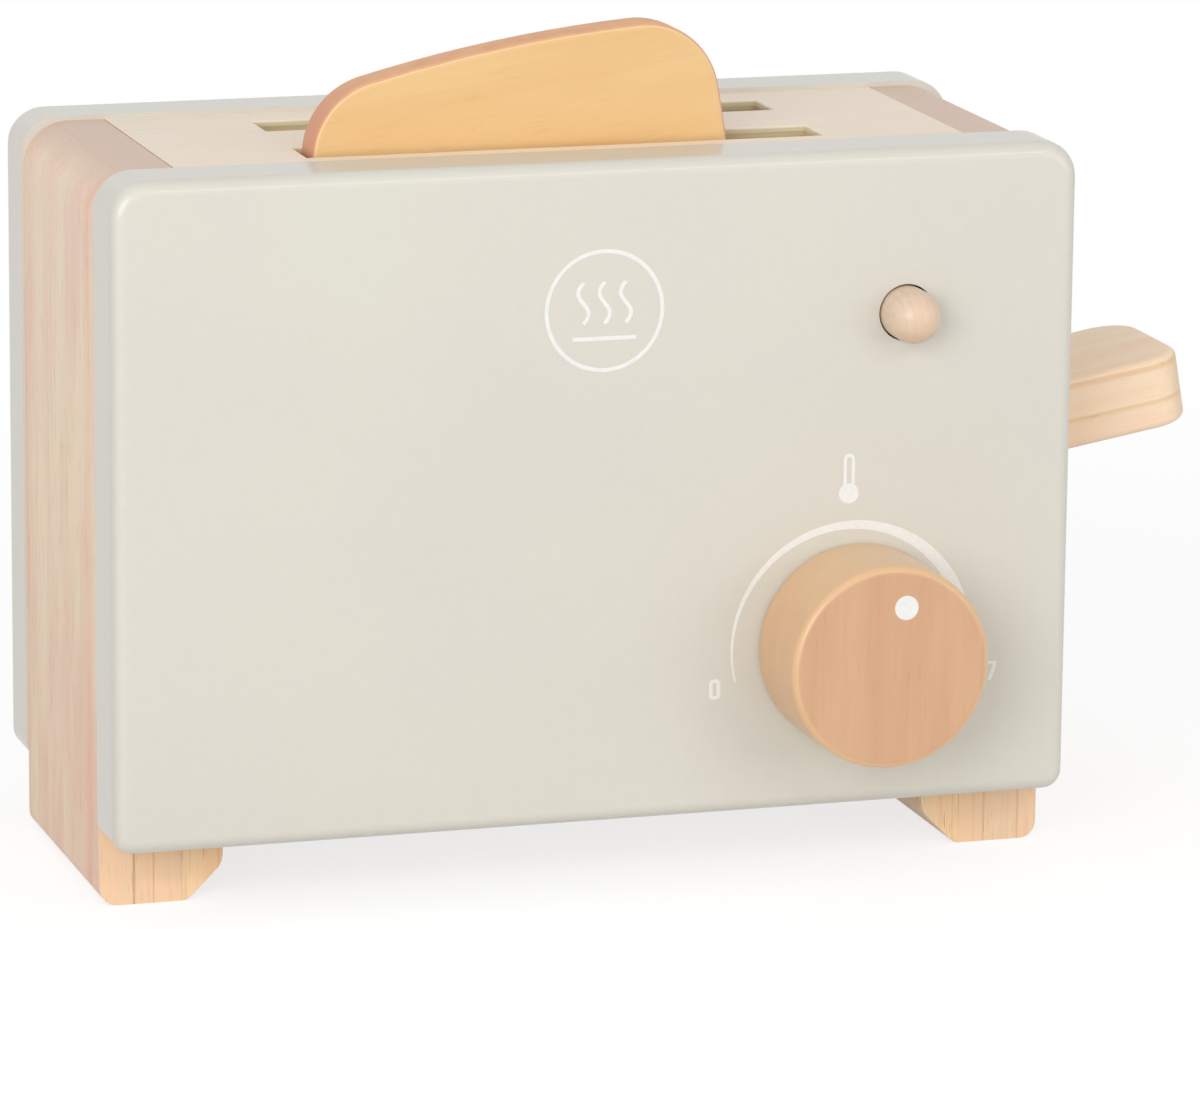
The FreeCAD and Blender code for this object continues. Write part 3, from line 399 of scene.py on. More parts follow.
def grown(name, tree, material, points, paths=(), place=Matrix(), **sizes):
    """The plain mesh that a geometry tree makes at some points, or along paths of points.

    The points are in mm in the tree's own frame, and place puts the mesh in the object's.
    """
    seeds = bpy.data.meshes.new(name)
    seeds.from_pydata([Vector(point) * MM for point in points], paths, [])
    piece = in_scene(name, seeds)
    made = piece.modifiers.new("made", "NODES")
    made.node_group = tree
    for socket in tree.interface.items_tree:
        if socket.name in sizes:
            made[socket.identifier] = sizes[socket.name]
        elif socket.name == "Material":
            made[socket.identifier] = material
    shaped = made_plain(piece)
    shaped.transform(place)
    shaped.set_sharp_from_angle(angle=math.radians(40))
    return piece


def driven_from(depth):
    """The place of a piece at a depth in mm, with its own Z to the back and its own Y down."""
    return Matrix.Translation((0, depth * MM, 0)) @ Matrix.Rotation(math.radians(-90), 4, "X")


tree, given = grown_tree("Fluted_dowel", Diameter=8 * MM, Length=DOWEL_LENGTH * MM, Flutes=20,
                         Flute=0.25 * MM, Chamfer=1.0 * MM)
line = node(tree, "GeometryNodeCurvePrimitiveLine", {
    "Direction": (0, 0, 1), "Length": given["Length"]}, mode="DIRECTION")
# A point at every millimetre, so that the chamfers are as short as they should be.
steps = node(tree, "GeometryNodeResampleCurve", {"Curve": line, "Count": 23})
outer = node(tree, "ShaderNodeMath", {0: given["Diameter"], 1: 0.5}, operation="MULTIPLY")
inner = node(tree, "ShaderNodeMath", {0: outer, 1: given["Flute"]}, operation="SUBTRACT")
ridges = node(tree, "GeometryNodeCurveStar", {
    "Points": given["Flutes"], "Inner Radius": inner, "Outer Radius": outer})
along = node(tree, "GeometryNodeSplineParameter")
left = node(tree, "ShaderNodeMath", {0: given["Length"], 1: along.outputs["Length"]},
            operation="SUBTRACT")
nearer = node(tree, "ShaderNodeMath", {0: along.outputs["Length"], 1: left},
              operation="MINIMUM")
narrowed = node(tree, "ShaderNodeMapRange", {
    "Value": nearer, "From Max": given["Chamfer"], "To Min": DOWEL_END_SHARE})
pin = node(tree, "GeometryNodeCurveToMesh", {
    "Curve": steps, "Profile Curve": ridges, "Scale": narrowed, "Fill Caps": True})
pins = node(tree, "GeometryNodeInstanceOnPoints", {"Points": given["Points"], "Instance": pin})
close_tree(tree, pins, given)
fluted_dowel = tree

# Beech dowel rod, raw: a plain light brown with short dark flecks.
raw_beech = {"pale": "#DDBB92", "warm": "#D8B288", "late": "#C79B6C", "pore": "#A87A50",
             "ring": 1.9, "streak": 4.0, "roughness": 0.6, "coat": 0.0}
beech_rod = timber("Beech_dowel_raw", grain=(0, 1, 0), **raw_beech)
panel_fixings = [(side * FIXING_X, -height, 0) for side in (-1, 1) for height in FIXING_HEIGHTS]
front_dowels = grown("front_panel_dowels_fluted", fluted_dowel, beech_rod, panel_fixings,
                     place=driven_from(PANEL_BACK - DOWEL_EMBED))
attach(front_dowels, "root")
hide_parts("front_panel_dowels")


# ---------------------------------------------------------------- lever, pivot and spacers
# The lever is one board of striped hardwood, cut out with a bandsaw.  Its paddle's arrises
# are rounded, and it turns on a beech dowel between two turned rings.

LEVER_TILT = math.radians(9.8)
LEVER_ALONG = (math.cos(LEVER_TILT), 0, math.sin(LEVER_TILT))
LEVER_UP = (-math.sin(LEVER_TILT), 0, math.cos(LEVER_TILT))
PIVOT_PLACE = (-73.0, 0, 54.5)
LEVER_MIDDLE = Vector(LEVER_UP).dot(PIVOT_PLACE)
LEVER_HALF = 7.5

# Striped pine-like hardwood, lacquered: cream layers parted by two narrow amber ones, which
# show as stripes along the edges and as broad pinkish and yellow figure on the flat face.
lever_wood = timber(
    "Hardwood_amber_striped_lacquered", pale="#FDE7C6", warm="#FBDCBC", late="#E2B57A",
    pore="#B98A55", grain=LEVER_ALONG, streak=6.0, fibre_depth=0.3, pore_depth=0.2,
    end_tone="#E3C3A0", roughness=0.45, coat=0.2,
    layers=(LEVER_UP, LEVER_MIDDLE, LEVER_HALF, [
        (0.0, 0.0), (0.31, 0.03), (0.36, 0.4), (0.39, 0.55), (0.42, 0.04), (0.81, 0.02),
        (0.86, 0.5), (0.90, 0.5), (0.92, 0.0), (0.97, 0.05), (1.0, 0.2)]))
finish_nodes(lever_wood, "lever_board")
finish_nodes(beech_rod, "lever_pivot_dowel", "pivot_spacers")


# ---------------------------------------------------------------- return spring and its peg
# A compression spring of hard-drawn wire pushes the lever up again.  Its end coils are closed
# and ground flat, and it stands round a beech peg glued into the base.

SPRING_PLACE = (-33.0, 0.0, 26.0)
SPRING_HEIGHT = 26.25

tree, given = grown_tree("Coil_spring", Radius=6.4 * MM, Wire=1.2 * MM,
                         Height=SPRING_HEIGHT * MM, Turns=6.0, Closed=1.0)
helix = node(tree, "GeometryNodeCurveSpiral", {
    "Resolution": 28, "Rotations": given["Turns"], "Start Radius": given["Radius"],
    "End Radius": given["Radius"], "Height": 1.0})
place = node(tree, "GeometryNodeInputPosition")
parts = node(tree, "ShaderNodeSeparateXYZ", {"Vector": place})
turned = node(tree, "ShaderNodeMath", {0: parts.outputs["Z"], 1: given["Turns"]},
              operation="MULTIPLY")
remaining = node(tree, "ShaderNodeMath", {0: given["Turns"], 1: turned}, operation="SUBTRACT")
closed_rise = node(tree, "ShaderNodeMath", {0: given["Wire"], 1: given["Closed"]},
                   operation="MULTIPLY")
lower = node(tree, "ShaderNodeMapRange", {
    "Value": turned, "From Max": given["Closed"], "To Max": closed_rise})
upper = node(tree, "ShaderNodeMapRange", {
    "Value": remaining, "From Max": given["Closed"], "To Max": closed_rise})
closed_top = node(tree, "ShaderNodeMath", {0: given["Turns"], 1: given["Closed"]},
                  operation="SUBTRACT")
solid = node(tree, "ShaderNodeMath", {
    0: closed_rise, 1: -2.0, 2: given["Height"]}, operation="MULTIPLY_ADD")
free = node(tree, "ShaderNodeMath", {0: solid, 1: given["Wire"]}, operation="SUBTRACT")
open_part = node(tree, "ShaderNodeMapRange", {
    "Value": turned, "From Min": given["Closed"], "From Max": closed_top, "To Max": free})
low_and_open = node(tree, "ShaderNodeMath", {0: lower, 1: open_part}, operation="ADD")
from_top = node(tree, "ShaderNodeMath", {0: closed_rise, 1: upper}, operation="SUBTRACT")
rise = node(tree, "ShaderNodeMath", {0: low_and_open, 1: from_top}, operation="ADD")
lifted = node(tree, "ShaderNodeMath", {0: given["Wire"], 1: 0.5, 2: rise},
              operation="MULTIPLY_ADD")
moved = node(tree, "ShaderNodeCombineXYZ", {
    "X": parts.outputs["X"], "Y": parts.outputs["Y"], "Z": lifted})
coils = node(tree, "GeometryNodeSetPosition", {"Geometry": helix, "Position": moved})
gauge = node(tree, "ShaderNodeMath", {0: given["Wire"], 1: 0.5}, operation="MULTIPLY")
section = node(tree, "GeometryNodeCurvePrimitiveCircle", {"Resolution": 12, "Radius": gauge})
wire = node(tree, "GeometryNodeCurveToMesh", {
    "Curve": coils, "Profile Curve": section, "Fill Caps": True})
stood = node(tree, "GeometryNodeInstanceOnPoints", {
    "Points": given["Points"], "Instance": wire})
close_tree(tree, stood, given)
coil_spring = tree


def metal(name, dark, light, roughness, grit):
    """Bare or plated metal with a faint mottle, whose grains are grit mm across."""
    material, tree, place = blank_material(name)
    mottle = node(tree, "ShaderNodeTexNoise", {
        "Vector": place.outputs["Object"], "Scale": 1000 / grit, "Detail": 4.0})
    colour = node(tree, "ShaderNodeValToRGB", {"Fac": mottle},
                  stops=[(0.3, dark), (0.7, light)])
    sheen = node(tree, "ShaderNodeMapRange", {
        "Value": mottle, "To Min": roughness - 0.1, "To Max": roughness + 0.12})
    bump = node(tree, "ShaderNodeBump", {
        "Height": mottle, "Strength": 0.15, "Distance": 0.02 * MM})
    shader = node(tree, "ShaderNodeBsdfPrincipled", {
        "Base Color": colour, "Metallic": 1.0, "Roughness": sheen, "Normal": bump})
    node(tree, "ShaderNodeOutputMaterial", {"Surface": shader})
    return material


# Hard-drawn spring wire, oiled: dark grey steel with a drawn shine.  Its marks are finer than
# 0.1 mm, and are drawn coarser so that they show.
spring_wire = metal("Spring_steel_drawn", "#6F6E6C", "#96948F", 0.3, 0.4)
return_spring = grown("return_spring_coiled", coil_spring, spring_wire, [(0, 0, 0)],
                      place=Matrix.Translation(Vector(SPRING_PLACE) * MM))
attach(return_spring, "root")
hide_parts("return_spring")
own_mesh(return_spring)

# The same raw beech, cut upright.
finish_nodes(timber("Beech_peg_raw", **raw_beech), "spring_peg")


# ---------------------------------------------------------------- front and back panels
# Two boards of fine fibreboard with rounded corners and a routed arris, sprayed all over with
# a satin lacquer in a warm pale grey.

# Marks per metre: clouds of 70 mm, specks of 2.4 mm and an orange peel of 1.4 mm.
CLOUDS = 14.0
SPECKS = 420.0
ORANGE_PEEL = 700.0

# Acrylic lacquer, sprayed: an even warm grey with a faint cloudiness, the slight orange peel
# of a spray gun, a satin gleam along the rounded edges, and upright edges a shade darker,
# which is painted shade.
lacquer, tree, place = blank_material("Acrylic_lacquer_sprayed_satin")
cloud = node(tree, "ShaderNodeTexNoise", {
    "Vector": place.outputs["Object"], "Scale": CLOUDS, "Detail": 2.0})
speck = node(tree, "ShaderNodeTexNoise", {
    "Vector": place.outputs["Object"], "Scale": SPECKS, "Detail": 3.0})
ground = node(tree, "ShaderNodeValToRGB", {"Fac": cloud},
              stops=[(0.3, "#D6D1C6"), (0.7, "#D8D5C9")])
dusted = node(tree, "ShaderNodeValToRGB", {"Fac": speck}, stops=[(0.3, 0.985), (0.7, 1.0)])
normal = node(tree, "ShaderNodeSeparateXYZ", {"Vector": place.outputs["Normal"]})
sideways = node(tree, "ShaderNodeMath", {0: normal.outputs["X"]}, operation="ABSOLUTE")
upright_edge_painted_shade = node(tree, "ShaderNodeValToRGB", {"Fac": sideways}, stops=[(0.6, 1.0), (0.95, 0.9)])
colour = ground
for shade in (upright_edge_painted_shade, dusted):
    colour = node(tree, "ShaderNodeMix", {"Factor": 1.0, 6: colour, 7: shade},
                  data_type="RGBA", blend_type="MULTIPLY").outputs[2]
sheen = node(tree, "ShaderNodeMapRange", {"Value": cloud, "To Min": 0.36, "To Max": 0.46})
peel = node(tree, "ShaderNodeTexNoise", {
    "Vector": place.outputs["Object"], "Scale": ORANGE_PEEL, "Detail": 1.0})
bump = node(tree, "ShaderNodeBump", {"Height": peel, "Strength": 0.1, "Distance": 0.03 * MM})
shader = node(tree, "ShaderNodeBsdfPrincipled", {
    "Base Color": colour, "Roughness": sheen, "Normal": bump, "Coat Weight": 0.4,
    "Coat Roughness": 0.1})
node(tree, "ShaderNodeOutputMaterial", {"Surface": shader})
finish_nodes(lacquer, "front_panel", "back_panel")


# ---------------------------------------------------------------- prints on the front panel
# White screen-printed marks: a scale round the dial that gets broader towards the hot end,
# its end numbers, a thermometer above it, and a sign for heat in a ring.

PANEL_FACE = -47.0
INK = 0.06
FINE_LINE = 0.85
# Marks per metre of the ink's density, 1.1 mm each.
INK_MARKS = 900.0

tree, given = grown_tree("Printed_line", Width=0.6 * MM, Ink=INK * MM, Start=1.0, Full=1.0)
path = node(tree, "GeometryNodeMeshToCurve", {"Mesh": given["Points"]})
half_width = node(tree, "ShaderNodeMath", {0: given["Width"], 1: 0.5}, operation="MULTIPLY")
section = node(tree, "GeometryNodeCurvePrimitiveCircle", {
    "Resolution": 12, "Radius": half_width})
along = node(tree, "GeometryNodeSplineParameter")
taper = node(tree, "ShaderNodeMapRange", {
    "Value": along.outputs["Factor"], "From Max": given["Full"], "To Min": given["Start"]})
stroke = node(tree, "GeometryNodeCurveToMesh", {
    "Curve": path, "Profile Curve": section, "Scale": taper, "Fill Caps": True})
spot = node(tree, "GeometryNodeInputPosition")
thinness = node(tree, "ShaderNodeMath", {0: given["Ink"], 1: given["Width"]},
                operation="DIVIDE")
parts = node(tree, "ShaderNodeSeparateXYZ", {"Vector": spot})
thinned = node(tree, "ShaderNodeMath", {0: parts.outputs["Y"], 1: thinness},
               operation="MULTIPLY")
pressed = node(tree, "ShaderNodeCombineXYZ", {
    "X": parts.outputs["X"], "Y": thinned, "Z": parts.outputs["Z"]})
flat = node(tree, "GeometryNodeSetPosition", {"Geometry": stroke, "Position": pressed})
close_tree(tree, flat, given)
printed_line = tree

# Screen ink, matt white: a thin even layer, a little denser in places.
ink, tree, place = blank_material("Screen_ink_white_matt")
density = node(tree, "ShaderNodeTexNoise", {
    "Vector": place.outputs["Object"], "Scale": INK_MARKS, "Detail": 2.0})
colour = node(tree, "ShaderNodeValToRGB", {"Fac": density},
              stops=[(0.3, "#E8E7E3"), (0.7, "#EEEDE9")])
sheen = node(tree, "ShaderNodeMapRange", {"Value": density, "To Min": 0.45, "To Max": 0.65})
shader = node(tree, "ShaderNodeBsdfPrincipled", {"Base Color": colour, "Roughness": sheen})
node(tree, "ShaderNodeOutputMaterial", {"Surface": shader})


def print_line(name, points, width, closed=False, **sizes):
    """One printed line through points across and up the panel's face, width mm broad."""
    paths = [(n, n + 1) for n in range(len(points) - 1)]
    if closed:
        paths.append((len(points) - 1, 0))
    mark = grown(name, printed_line, ink, [(x, 0, z) for x, z in points], paths=paths,
                 place=Matrix.Translation((0, (PANEL_FACE - INK / 2) * MM, 0)),
                 Width=width * MM, **sizes)
    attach(mark, "root")


def arc_points(centre, radius, start, end, count=48):
    """Points on an arc, whose angles in degrees turn clockwise from straight up."""
    angles = [math.radians(start + (end - start) * n / count) for n in range(count + 1)]
    return [(centre[0] + radius * math.sin(angle), centre[1] + radius * math.cos(angle))
            for angle in angles]


def print_spot(name, centre, radius, face, body="root"):
    """A printed round spot on a face whose place along the depth is given in mm."""
    edit = bmesh.new()
    bmesh.ops.create_cone(edit, cap_ends=True, segments=64, radius1=radius * MM,
                          radius2=(radius - INK) * MM, depth=INK * MM)
    mesh = bpy.data.meshes.new(name)
    edit.to_mesh(mesh)
    edit.free()
    mesh.transform(Matrix.Translation((centre[0] * MM, face * MM - INK / 2 * MM,
                                       centre[1] * MM))
                   @ Matrix.Rotation(math.radians(90), 4, "X"))
    mesh.materials.append(ink)
    spot = in_scene(name, mesh)
    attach(spot, body)


# Places are mm across and mm up, and SCALE_END is in degrees from the top.
SCALE_CENTRE = (52.55, 47.66)
SCALE_RADIUS = 24.95
SCALE_END = 104.5
print_line("scale_arc_print", arc_points(SCALE_CENTRE, SCALE_RADIUS, -SCALE_END, SCALE_END, 96),
           2.8, Start=0.12, Full=0.85)

ZERO_SIDES = (23.85, 24.35)
ZERO_ENDS = (39.05, 41.4)
ZERO_BEND = 0.55
# The zero turns clockwise round its four corners, from the upper right one.
zero = []
for quarter, (side, end) in enumerate(((1, 1), (1, 0), (0, 0), (0, 1))):
    zero += arc_points((ZERO_SIDES[side], ZERO_ENDS[end]), ZERO_BEND, 90 * quarter,
                       90 * quarter + 90, 6)
print_line("scale_zero_print", zero, FINE_LINE, closed=True)
seven = [(82.4, 42.0), (84.2, 42.0), (84.1, 41.6), (82.9, 38.3)]
print_line("scale_seven_print", seven, FINE_LINE)

TUBE_X = 52.0
TUBE_HALF = 0.85
TUBE_LOW = 80.6
TUBE_TOP = 86.1
BULB_CENTRE = (52.0, 79.1)
tube = ([(TUBE_X - TUBE_HALF, TUBE_LOW)]
        + arc_points((TUBE_X, TUBE_TOP), TUBE_HALF, -90, 90, 16)
        + [(TUBE_X + TUBE_HALF, TUBE_LOW)])
print_line("thermometer_tube_print", tube, 0.72)
print_spot("thermometer_bulb_print", BULB_CENTRE, 2.1, PANEL_FACE)

HEAT_X = 0.1
HEAT_HEIGHT = 119.2
HEAT_RADIUS = 12.0
WAVE_GAP = 4.4
WAVE_SWING = 1.1
WAVE_DROP = 2.6
WAVE_LENGTH = 8.4
BAR_HALF = 6.6
BAR_DROP = 5.6
ring = arc_points((HEAT_X, HEAT_HEIGHT), HEAT_RADIUS, 0, 360, 96)[:-1]
print_line("heat_ring_print", ring, FINE_LINE, closed=True)
for number, shift in enumerate((-WAVE_GAP, 0.0, WAVE_GAP)):
    wave = [(HEAT_X + shift + WAVE_SWING * math.sin(step / 12 * math.pi),
             HEAT_HEIGHT - WAVE_DROP + WAVE_LENGTH * step / 24) for step in range(25)]
    print_line("heat_wave_%d_print" % (number + 1), wave, FINE_LINE)
bar = [(HEAT_X + side * BAR_HALF, HEAT_HEIGHT - BAR_DROP) for side in (-1, 1)]
print_line("heat_bar_print", bar, FINE_LINE)


# ---------------------------------------------------------------- button and its housing
# The button is a turned pin of pale birch with a domed end.  A bored block of rubberwood,
# screwed behind the panel, guides its flange, and a light spring pushes it out.

BUTTON_PLACE = (63.6, 115.7)
HOUSING_FLOOR = -26.0
HOUSING_BACK = -22.0
BUTTON_SPRING_HEIGHT = 9.84
HOUSING_SCREW_OFFSET = 9.6

# Birch, turned and lacquered: an even pale peach with a soft gleam on the dome.
birch = timber("Birch_turned_lacquered", pale="#DFC8B1", warm="#DCC1A7", late="#D1AC8A",
               pore="#C99A6C", grain=(0, 1, 0), ring=1.6, ring_depth=0.25, streak=4.0,
               fibre_depth=0.3, pore_depth=0.2, end_tone="#E1C4A7", roughness=0.4, coat=0.3)
finish_nodes(birch, "push_button")
finish_nodes(rubberwood, "button_housing")

button_spring = grown(
    "button_spring_coiled", coil_spring, spring_wire, [(0, 0, 0)],
    place=Matrix.Translation((BUTTON_PLACE[0] * MM, HOUSING_FLOOR * MM, BUTTON_PLACE[1] * MM))
    @ Matrix.Rotation(math.radians(90), 4, "X"),
    Radius=7.1 * MM, Wire=0.8 * MM, Height=BUTTON_SPRING_HEIGHT * MM, Turns=5.0)
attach(button_spring, "root")
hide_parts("button_spring")
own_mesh(button_spring)

tree, given = grown_tree("Cross_head_screw", Shank=3.5 * MM, Head=7.0 * MM, Length=25.0 * MM,
                         Height=2.0 * MM, Seat=0.5, Top=1.0, Edge=0.0, Pitch=1.3 * MM)
spot = node(tree, "GeometryNodeInputPosition")
parts = node(tree, "ShaderNodeSeparateXYZ", {"Vector": spot})


def slimmed(shape, share):
    """One of the screw's shapes, drawn in towards its axis by a share that changes along it."""
    scale = node(tree, "ShaderNodeCombineXYZ", {"X": share, "Y": share, "Z": 1.0})
    drawn_in = node(tree, "ShaderNodeVectorMath", {0: spot, 1: scale}, operation="MULTIPLY")
    return node(tree, "GeometryNodeSetPosition", {"Geometry": shape, "Position": drawn_in})


# The screw's other sizes are shares of the given ones.
sizes = {}
for label, size, share in (
        ("head radius", "Head", 0.5), ("head middle", "Height", -0.5), ("arm", "Head", 0.56),
        ("blade", "Head", 0.15), ("bit depth", "Height", 1.5), ("core radius", "Shank", 0.37),
        ("crest radius", "Shank", 0.4), ("ridge radius", "Shank", 0.1), ("tip", "Shank", 1.3),
        ("bottom", "Length", -1.0)):
    sizes[label] = node(tree, "ShaderNodeMath", {0: given[size], 1: share},
                        operation="MULTIPLY")

blank = node(tree, "GeometryNodeMeshCylinder", {
    "Vertices": 48, "Side Segments": 8, "Radius": sizes["head radius"],
    "Depth": given["Height"]})
drop = node(tree, "ShaderNodeCombineXYZ", {"Z": sizes["head middle"]})
set_down = node(tree, "GeometryNodeTransform", {"Geometry": blank, "Translation": drop})
depth = node(tree, "ShaderNodeMath", {0: parts.outputs["Z"], 1: given["Height"]},
             operation="DIVIDE")
edge = node(tree, "ShaderNodeMath", {0: given["Edge"], 1: -1.0}, operation="SUBTRACT")
seat_share = node(tree, "ShaderNodeMapRange", {
    "Value": depth, "From Min": edge, "From Max": 0.0,
    "To Min": given["Seat"], "To Max": given["Top"]})
head = slimmed(set_down, seat_share)
arms_size = node(tree, "ShaderNodeCombineXYZ", {
    "X": sizes["arm"], "Y": sizes["blade"], "Z": sizes["bit depth"]})
first = node(tree, "GeometryNodeMeshCube", {"Size": arms_size})
second = node(tree, "GeometryNodeTransform", {
    "Geometry": first, "Rotation": (0, 0, math.radians(90))})
cross = node(tree, "GeometryNodeMeshBoolean", {"Mesh 1": head, "Mesh 2": (first, second)},
             operation="DIFFERENCE", solver="EXACT")

# The shank is a core with a thread up nine tenths of it, and both narrow to the tip.
under_head = node(tree, "ShaderNodeMath", {0: given["Length"], 1: given["Height"]},
                  operation="SUBTRACT")
core = node(tree, "GeometryNodeMeshCylinder", {
    "Vertices": 20, "Side Segments": 24, "Radius": sizes["core radius"], "Depth": under_head})
core_middle = node(tree, "ShaderNodeMath", {0: under_head, 1: 0.5}, operation="MULTIPLY")
core_lift = node(tree, "ShaderNodeCombineXYZ", {"Z": core_middle})
core_stood = node(tree, "GeometryNodeTransform", {"Geometry": core, "Translation": core_lift})
thread_height = node(tree, "ShaderNodeMath", {0: under_head, 1: 0.9}, operation="MULTIPLY")
turns = node(tree, "ShaderNodeMath", {0: thread_height, 1: given["Pitch"]}, operation="DIVIDE")
helix = node(tree, "GeometryNodeCurveSpiral", {
    "Resolution": 20, "Rotations": turns, "Start Radius": sizes["crest radius"],
    "End Radius": sizes["crest radius"], "Height": thread_height})
ridge_section = node(tree, "GeometryNodeCurvePrimitiveCircle", {
    "Resolution": 4, "Radius": sizes["ridge radius"]})
thread = node(tree, "GeometryNodeCurveToMesh", {
    "Curve": helix, "Profile Curve": ridge_section, "Fill Caps": True})
shank = node(tree, "GeometryNodeJoinGeometry", {0: (core_stood, thread)})
point_share = node(tree, "ShaderNodeMapRange", {
    "Value": parts.outputs["Z"], "From Max": sizes["tip"], "To Min": 0.06})
sharpened = slimmed(shank, point_share)
down_by = node(tree, "ShaderNodeCombineXYZ", {"Z": sizes["bottom"]})
hung = node(tree, "GeometryNodeTransform", {"Geometry": sharpened, "Translation": down_by})
whole = node(tree, "GeometryNodeJoinGeometry", {0: (cross, hung)})
driven = node(tree, "GeometryNodeInstanceOnPoints", {
    "Points": given["Points"], "Instance": whole})
close_tree(tree, driven, given)
cross_head_screw = tree

# Zinc plate on steel, passivated: a bright bluish silver with a faint cloudy mottle.
zinc = metal("Zinc_plated_steel_bright", "#C0C3C7", "#CDD0D2", 0.28, 1.5)
housing_screws = grown(
    "housing_screws_threaded", cross_head_screw, zinc,
    [(BUTTON_PLACE[0] + side * HOUSING_SCREW_OFFSET,
      -(BUTTON_PLACE[1] + side * HOUSING_SCREW_OFFSET), 0) for side in (-1, 1)],
    place=driven_from(HOUSING_BACK), Shank=2.5 * MM, Head=5.0 * MM, Length=14.0 * MM,
    Pitch=1.1 * MM)
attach(housing_screws, "root")
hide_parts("housing_screws")


# ---------------------------------------------------------------- dial
# The knob is a disc of beech turned on a lathe, glued on a beech axle.  Behind the panel a
# steel washer and a pan-head screw in the axle's end hold it, so that it turns freely.

DIAL_PLACE = (54.0, 48.0)
KNOB_FACE = -69.3
DIAL_SCREW_HEAD = -28.2
DOT_REACH = 12.6
DOT_ANGLE = 13.0


def coated(material, *coats):
    """Adds coats of colour to a wood, the first one next to the wood.

    Each is a colour and a ramp's stops, which say how much of it shows: at 1 on a face that
    looks straight to the front or the back, and at 0 on an edge square to that.
    """
    tree = material.node_tree
    shader = tree.nodes["Principled BSDF"]
    colour = shader.inputs["Base Color"].links[0].from_socket
    normal = node(tree, "ShaderNodeSeparateXYZ", {
        "Vector": tree.nodes["Texture Coordinate"].outputs["Normal"]})
    flat = node(tree, "ShaderNodeMath", {0: normal.outputs["Y"]}, operation="ABSOLUTE")
    for tone, stops in coats:
        share = node(tree, "ShaderNodeValToRGB", {"Fac": flat}, stops=stops)
        colour = node(tree, "ShaderNodeMix", {
            "Factor": share, 6: colour, 7: tone}, data_type="RGBA").outputs[2]
    tree.links.new(colour, shader.inputs["Base Color"])


# Beech, turned and lacquered: warm tan, with fine upright lines on the face and short dark
# flecks.  Its side is made paler as painted light, and its rim paler as a painted highlight.
beech = timber("Beech_turned_lacquered", pale="#D4A780", warm="#CF9F79", late="#BF8E66",
               pore="#A97447", pith=(200, 30, 0), ring=3.0, ring_depth=0.06, streak=6.0,
               fibre_depth=0.25, pore_depth=0.15, end_tone="#DDB88F", roughness=0.38, coat=0.5)
# The paler side is painted light, and the paler rim is a painted highlight.
coated(beech, (linear("#EDC48F"), [(0.1, 0.35), (0.4, 0.55), (0.9, 0.5), (0.99, 0.0)]))
finish_nodes(beech, "dial_knob")
finish_nodes(beech_rod, "dial_axle")
finish_nodes(zinc, "dial_washer")
dial_screw = grown(
    "dial_screw_threaded", cross_head_screw, zinc, [(DIAL_PLACE[0], -DIAL_PLACE[1], 0)],
    place=driven_from(DIAL_SCREW_HEAD), Length=14.0 * MM, Seat=1.0, Top=0.6, Edge=0.5)
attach(dial_screw, "dial")
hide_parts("dial_screw")

# The white dot lies this far from the knob's middle, and this many degrees right of the top.
print_spot("knob_dot_print", arc_points(DIAL_PLACE, DOT_REACH, DOT_ANGLE, DOT_ANGLE, 1)[0],
           2.5, KNOB_FACE, body="dial")


# ---------------------------------------------------------------- screws of the back panel
# Four wood screws of zinc-plated steel, with a cross in a countersunk head.  They go through
# the back panel into the side boards, without glue, so that the toy can be opened.

BACK_FACE = 47.0
back_screws = grown("back_panel_screws_threaded", cross_head_screw, zinc, panel_fixings,
                    place=driven_from(BACK_FACE))
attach(back_screws, "root")
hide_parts("back_panel_screws")


# ---------------------------------------------------------------- slice of toast
# A slice of limewood, sawn and sanded, which stands loose on the lever.  Its faces are stained
# golden and its edge is painted a pinkish brown, as the crust.

# Brush marks per metre of the crust's paint, 4 mm each.
BRUSH_MARKS = 260.0

# Limewood, stained and sanded: golden with very faint lines along the slice; the crust is a
# flat matt paint, darker where it faces left, which is painted shade, with a thin pale line
# along the arris.
toast_wood = timber(
    "Limewood_stained_with_painted_edge", pale="#E8C38A", warm="#E5BC82", late="#D8A46B",
    pore="#C98F55", grain=LEVER_ALONG, pith=(0, 300, 60), ring=4.0, ring_depth=0.12,
    streak=12.0, fibre_depth=0.2, pore_depth=0.15, roughness=0.55, coat=0.05)
tree = toast_wood.node_tree
place = tree.nodes["Texture Coordinate"]
brush = node(tree, "ShaderNodeTexNoise", {
    "Vector": place.outputs["Object"], "Scale": BRUSH_MARKS, "Detail": 3.0})
crust = node(tree, "ShaderNodeValToRGB", {"Fac": brush},
             stops=[(0.3, "#E2A576"), (0.7, "#EAB283")])
# The crust is darkened where it faces left, as painted shade.
leaning = node(tree, "ShaderNodeSeparateXYZ", {"Vector": place.outputs["Normal"]})
crust_left_shade_share = node(tree, "ShaderNodeMapRange", {
    "Value": leaning.outputs["X"], "From Min": -0.9, "From Max": -0.3, "To Min": 0.85,
    "To Max": 0.0})
crust_with_left_shade = node(tree, "ShaderNodeMix", {
    "Factor": crust_left_shade_share, 6: crust, 7: linear("#D09274")}, data_type="RGBA")
coated(toast_wood, (crust_with_left_shade.outputs[2], [(0.80, 1.0), (0.86, 0.0)]),
       (linear("#F7DDB4"), [(0.76, 0.0), (0.86, 0.6), (0.95, 0.0)]))
finish_nodes(toast_wood, "toast_slice")


# ---------------------------------------------------------------- floor, light and camera
# A plain white studio: a floor that keeps the soft shadow and fades to white, a large soft
# box to the left, a little above the object, a narrow one that draws the gleam along the
# rounded edges, and a weak one from the right.

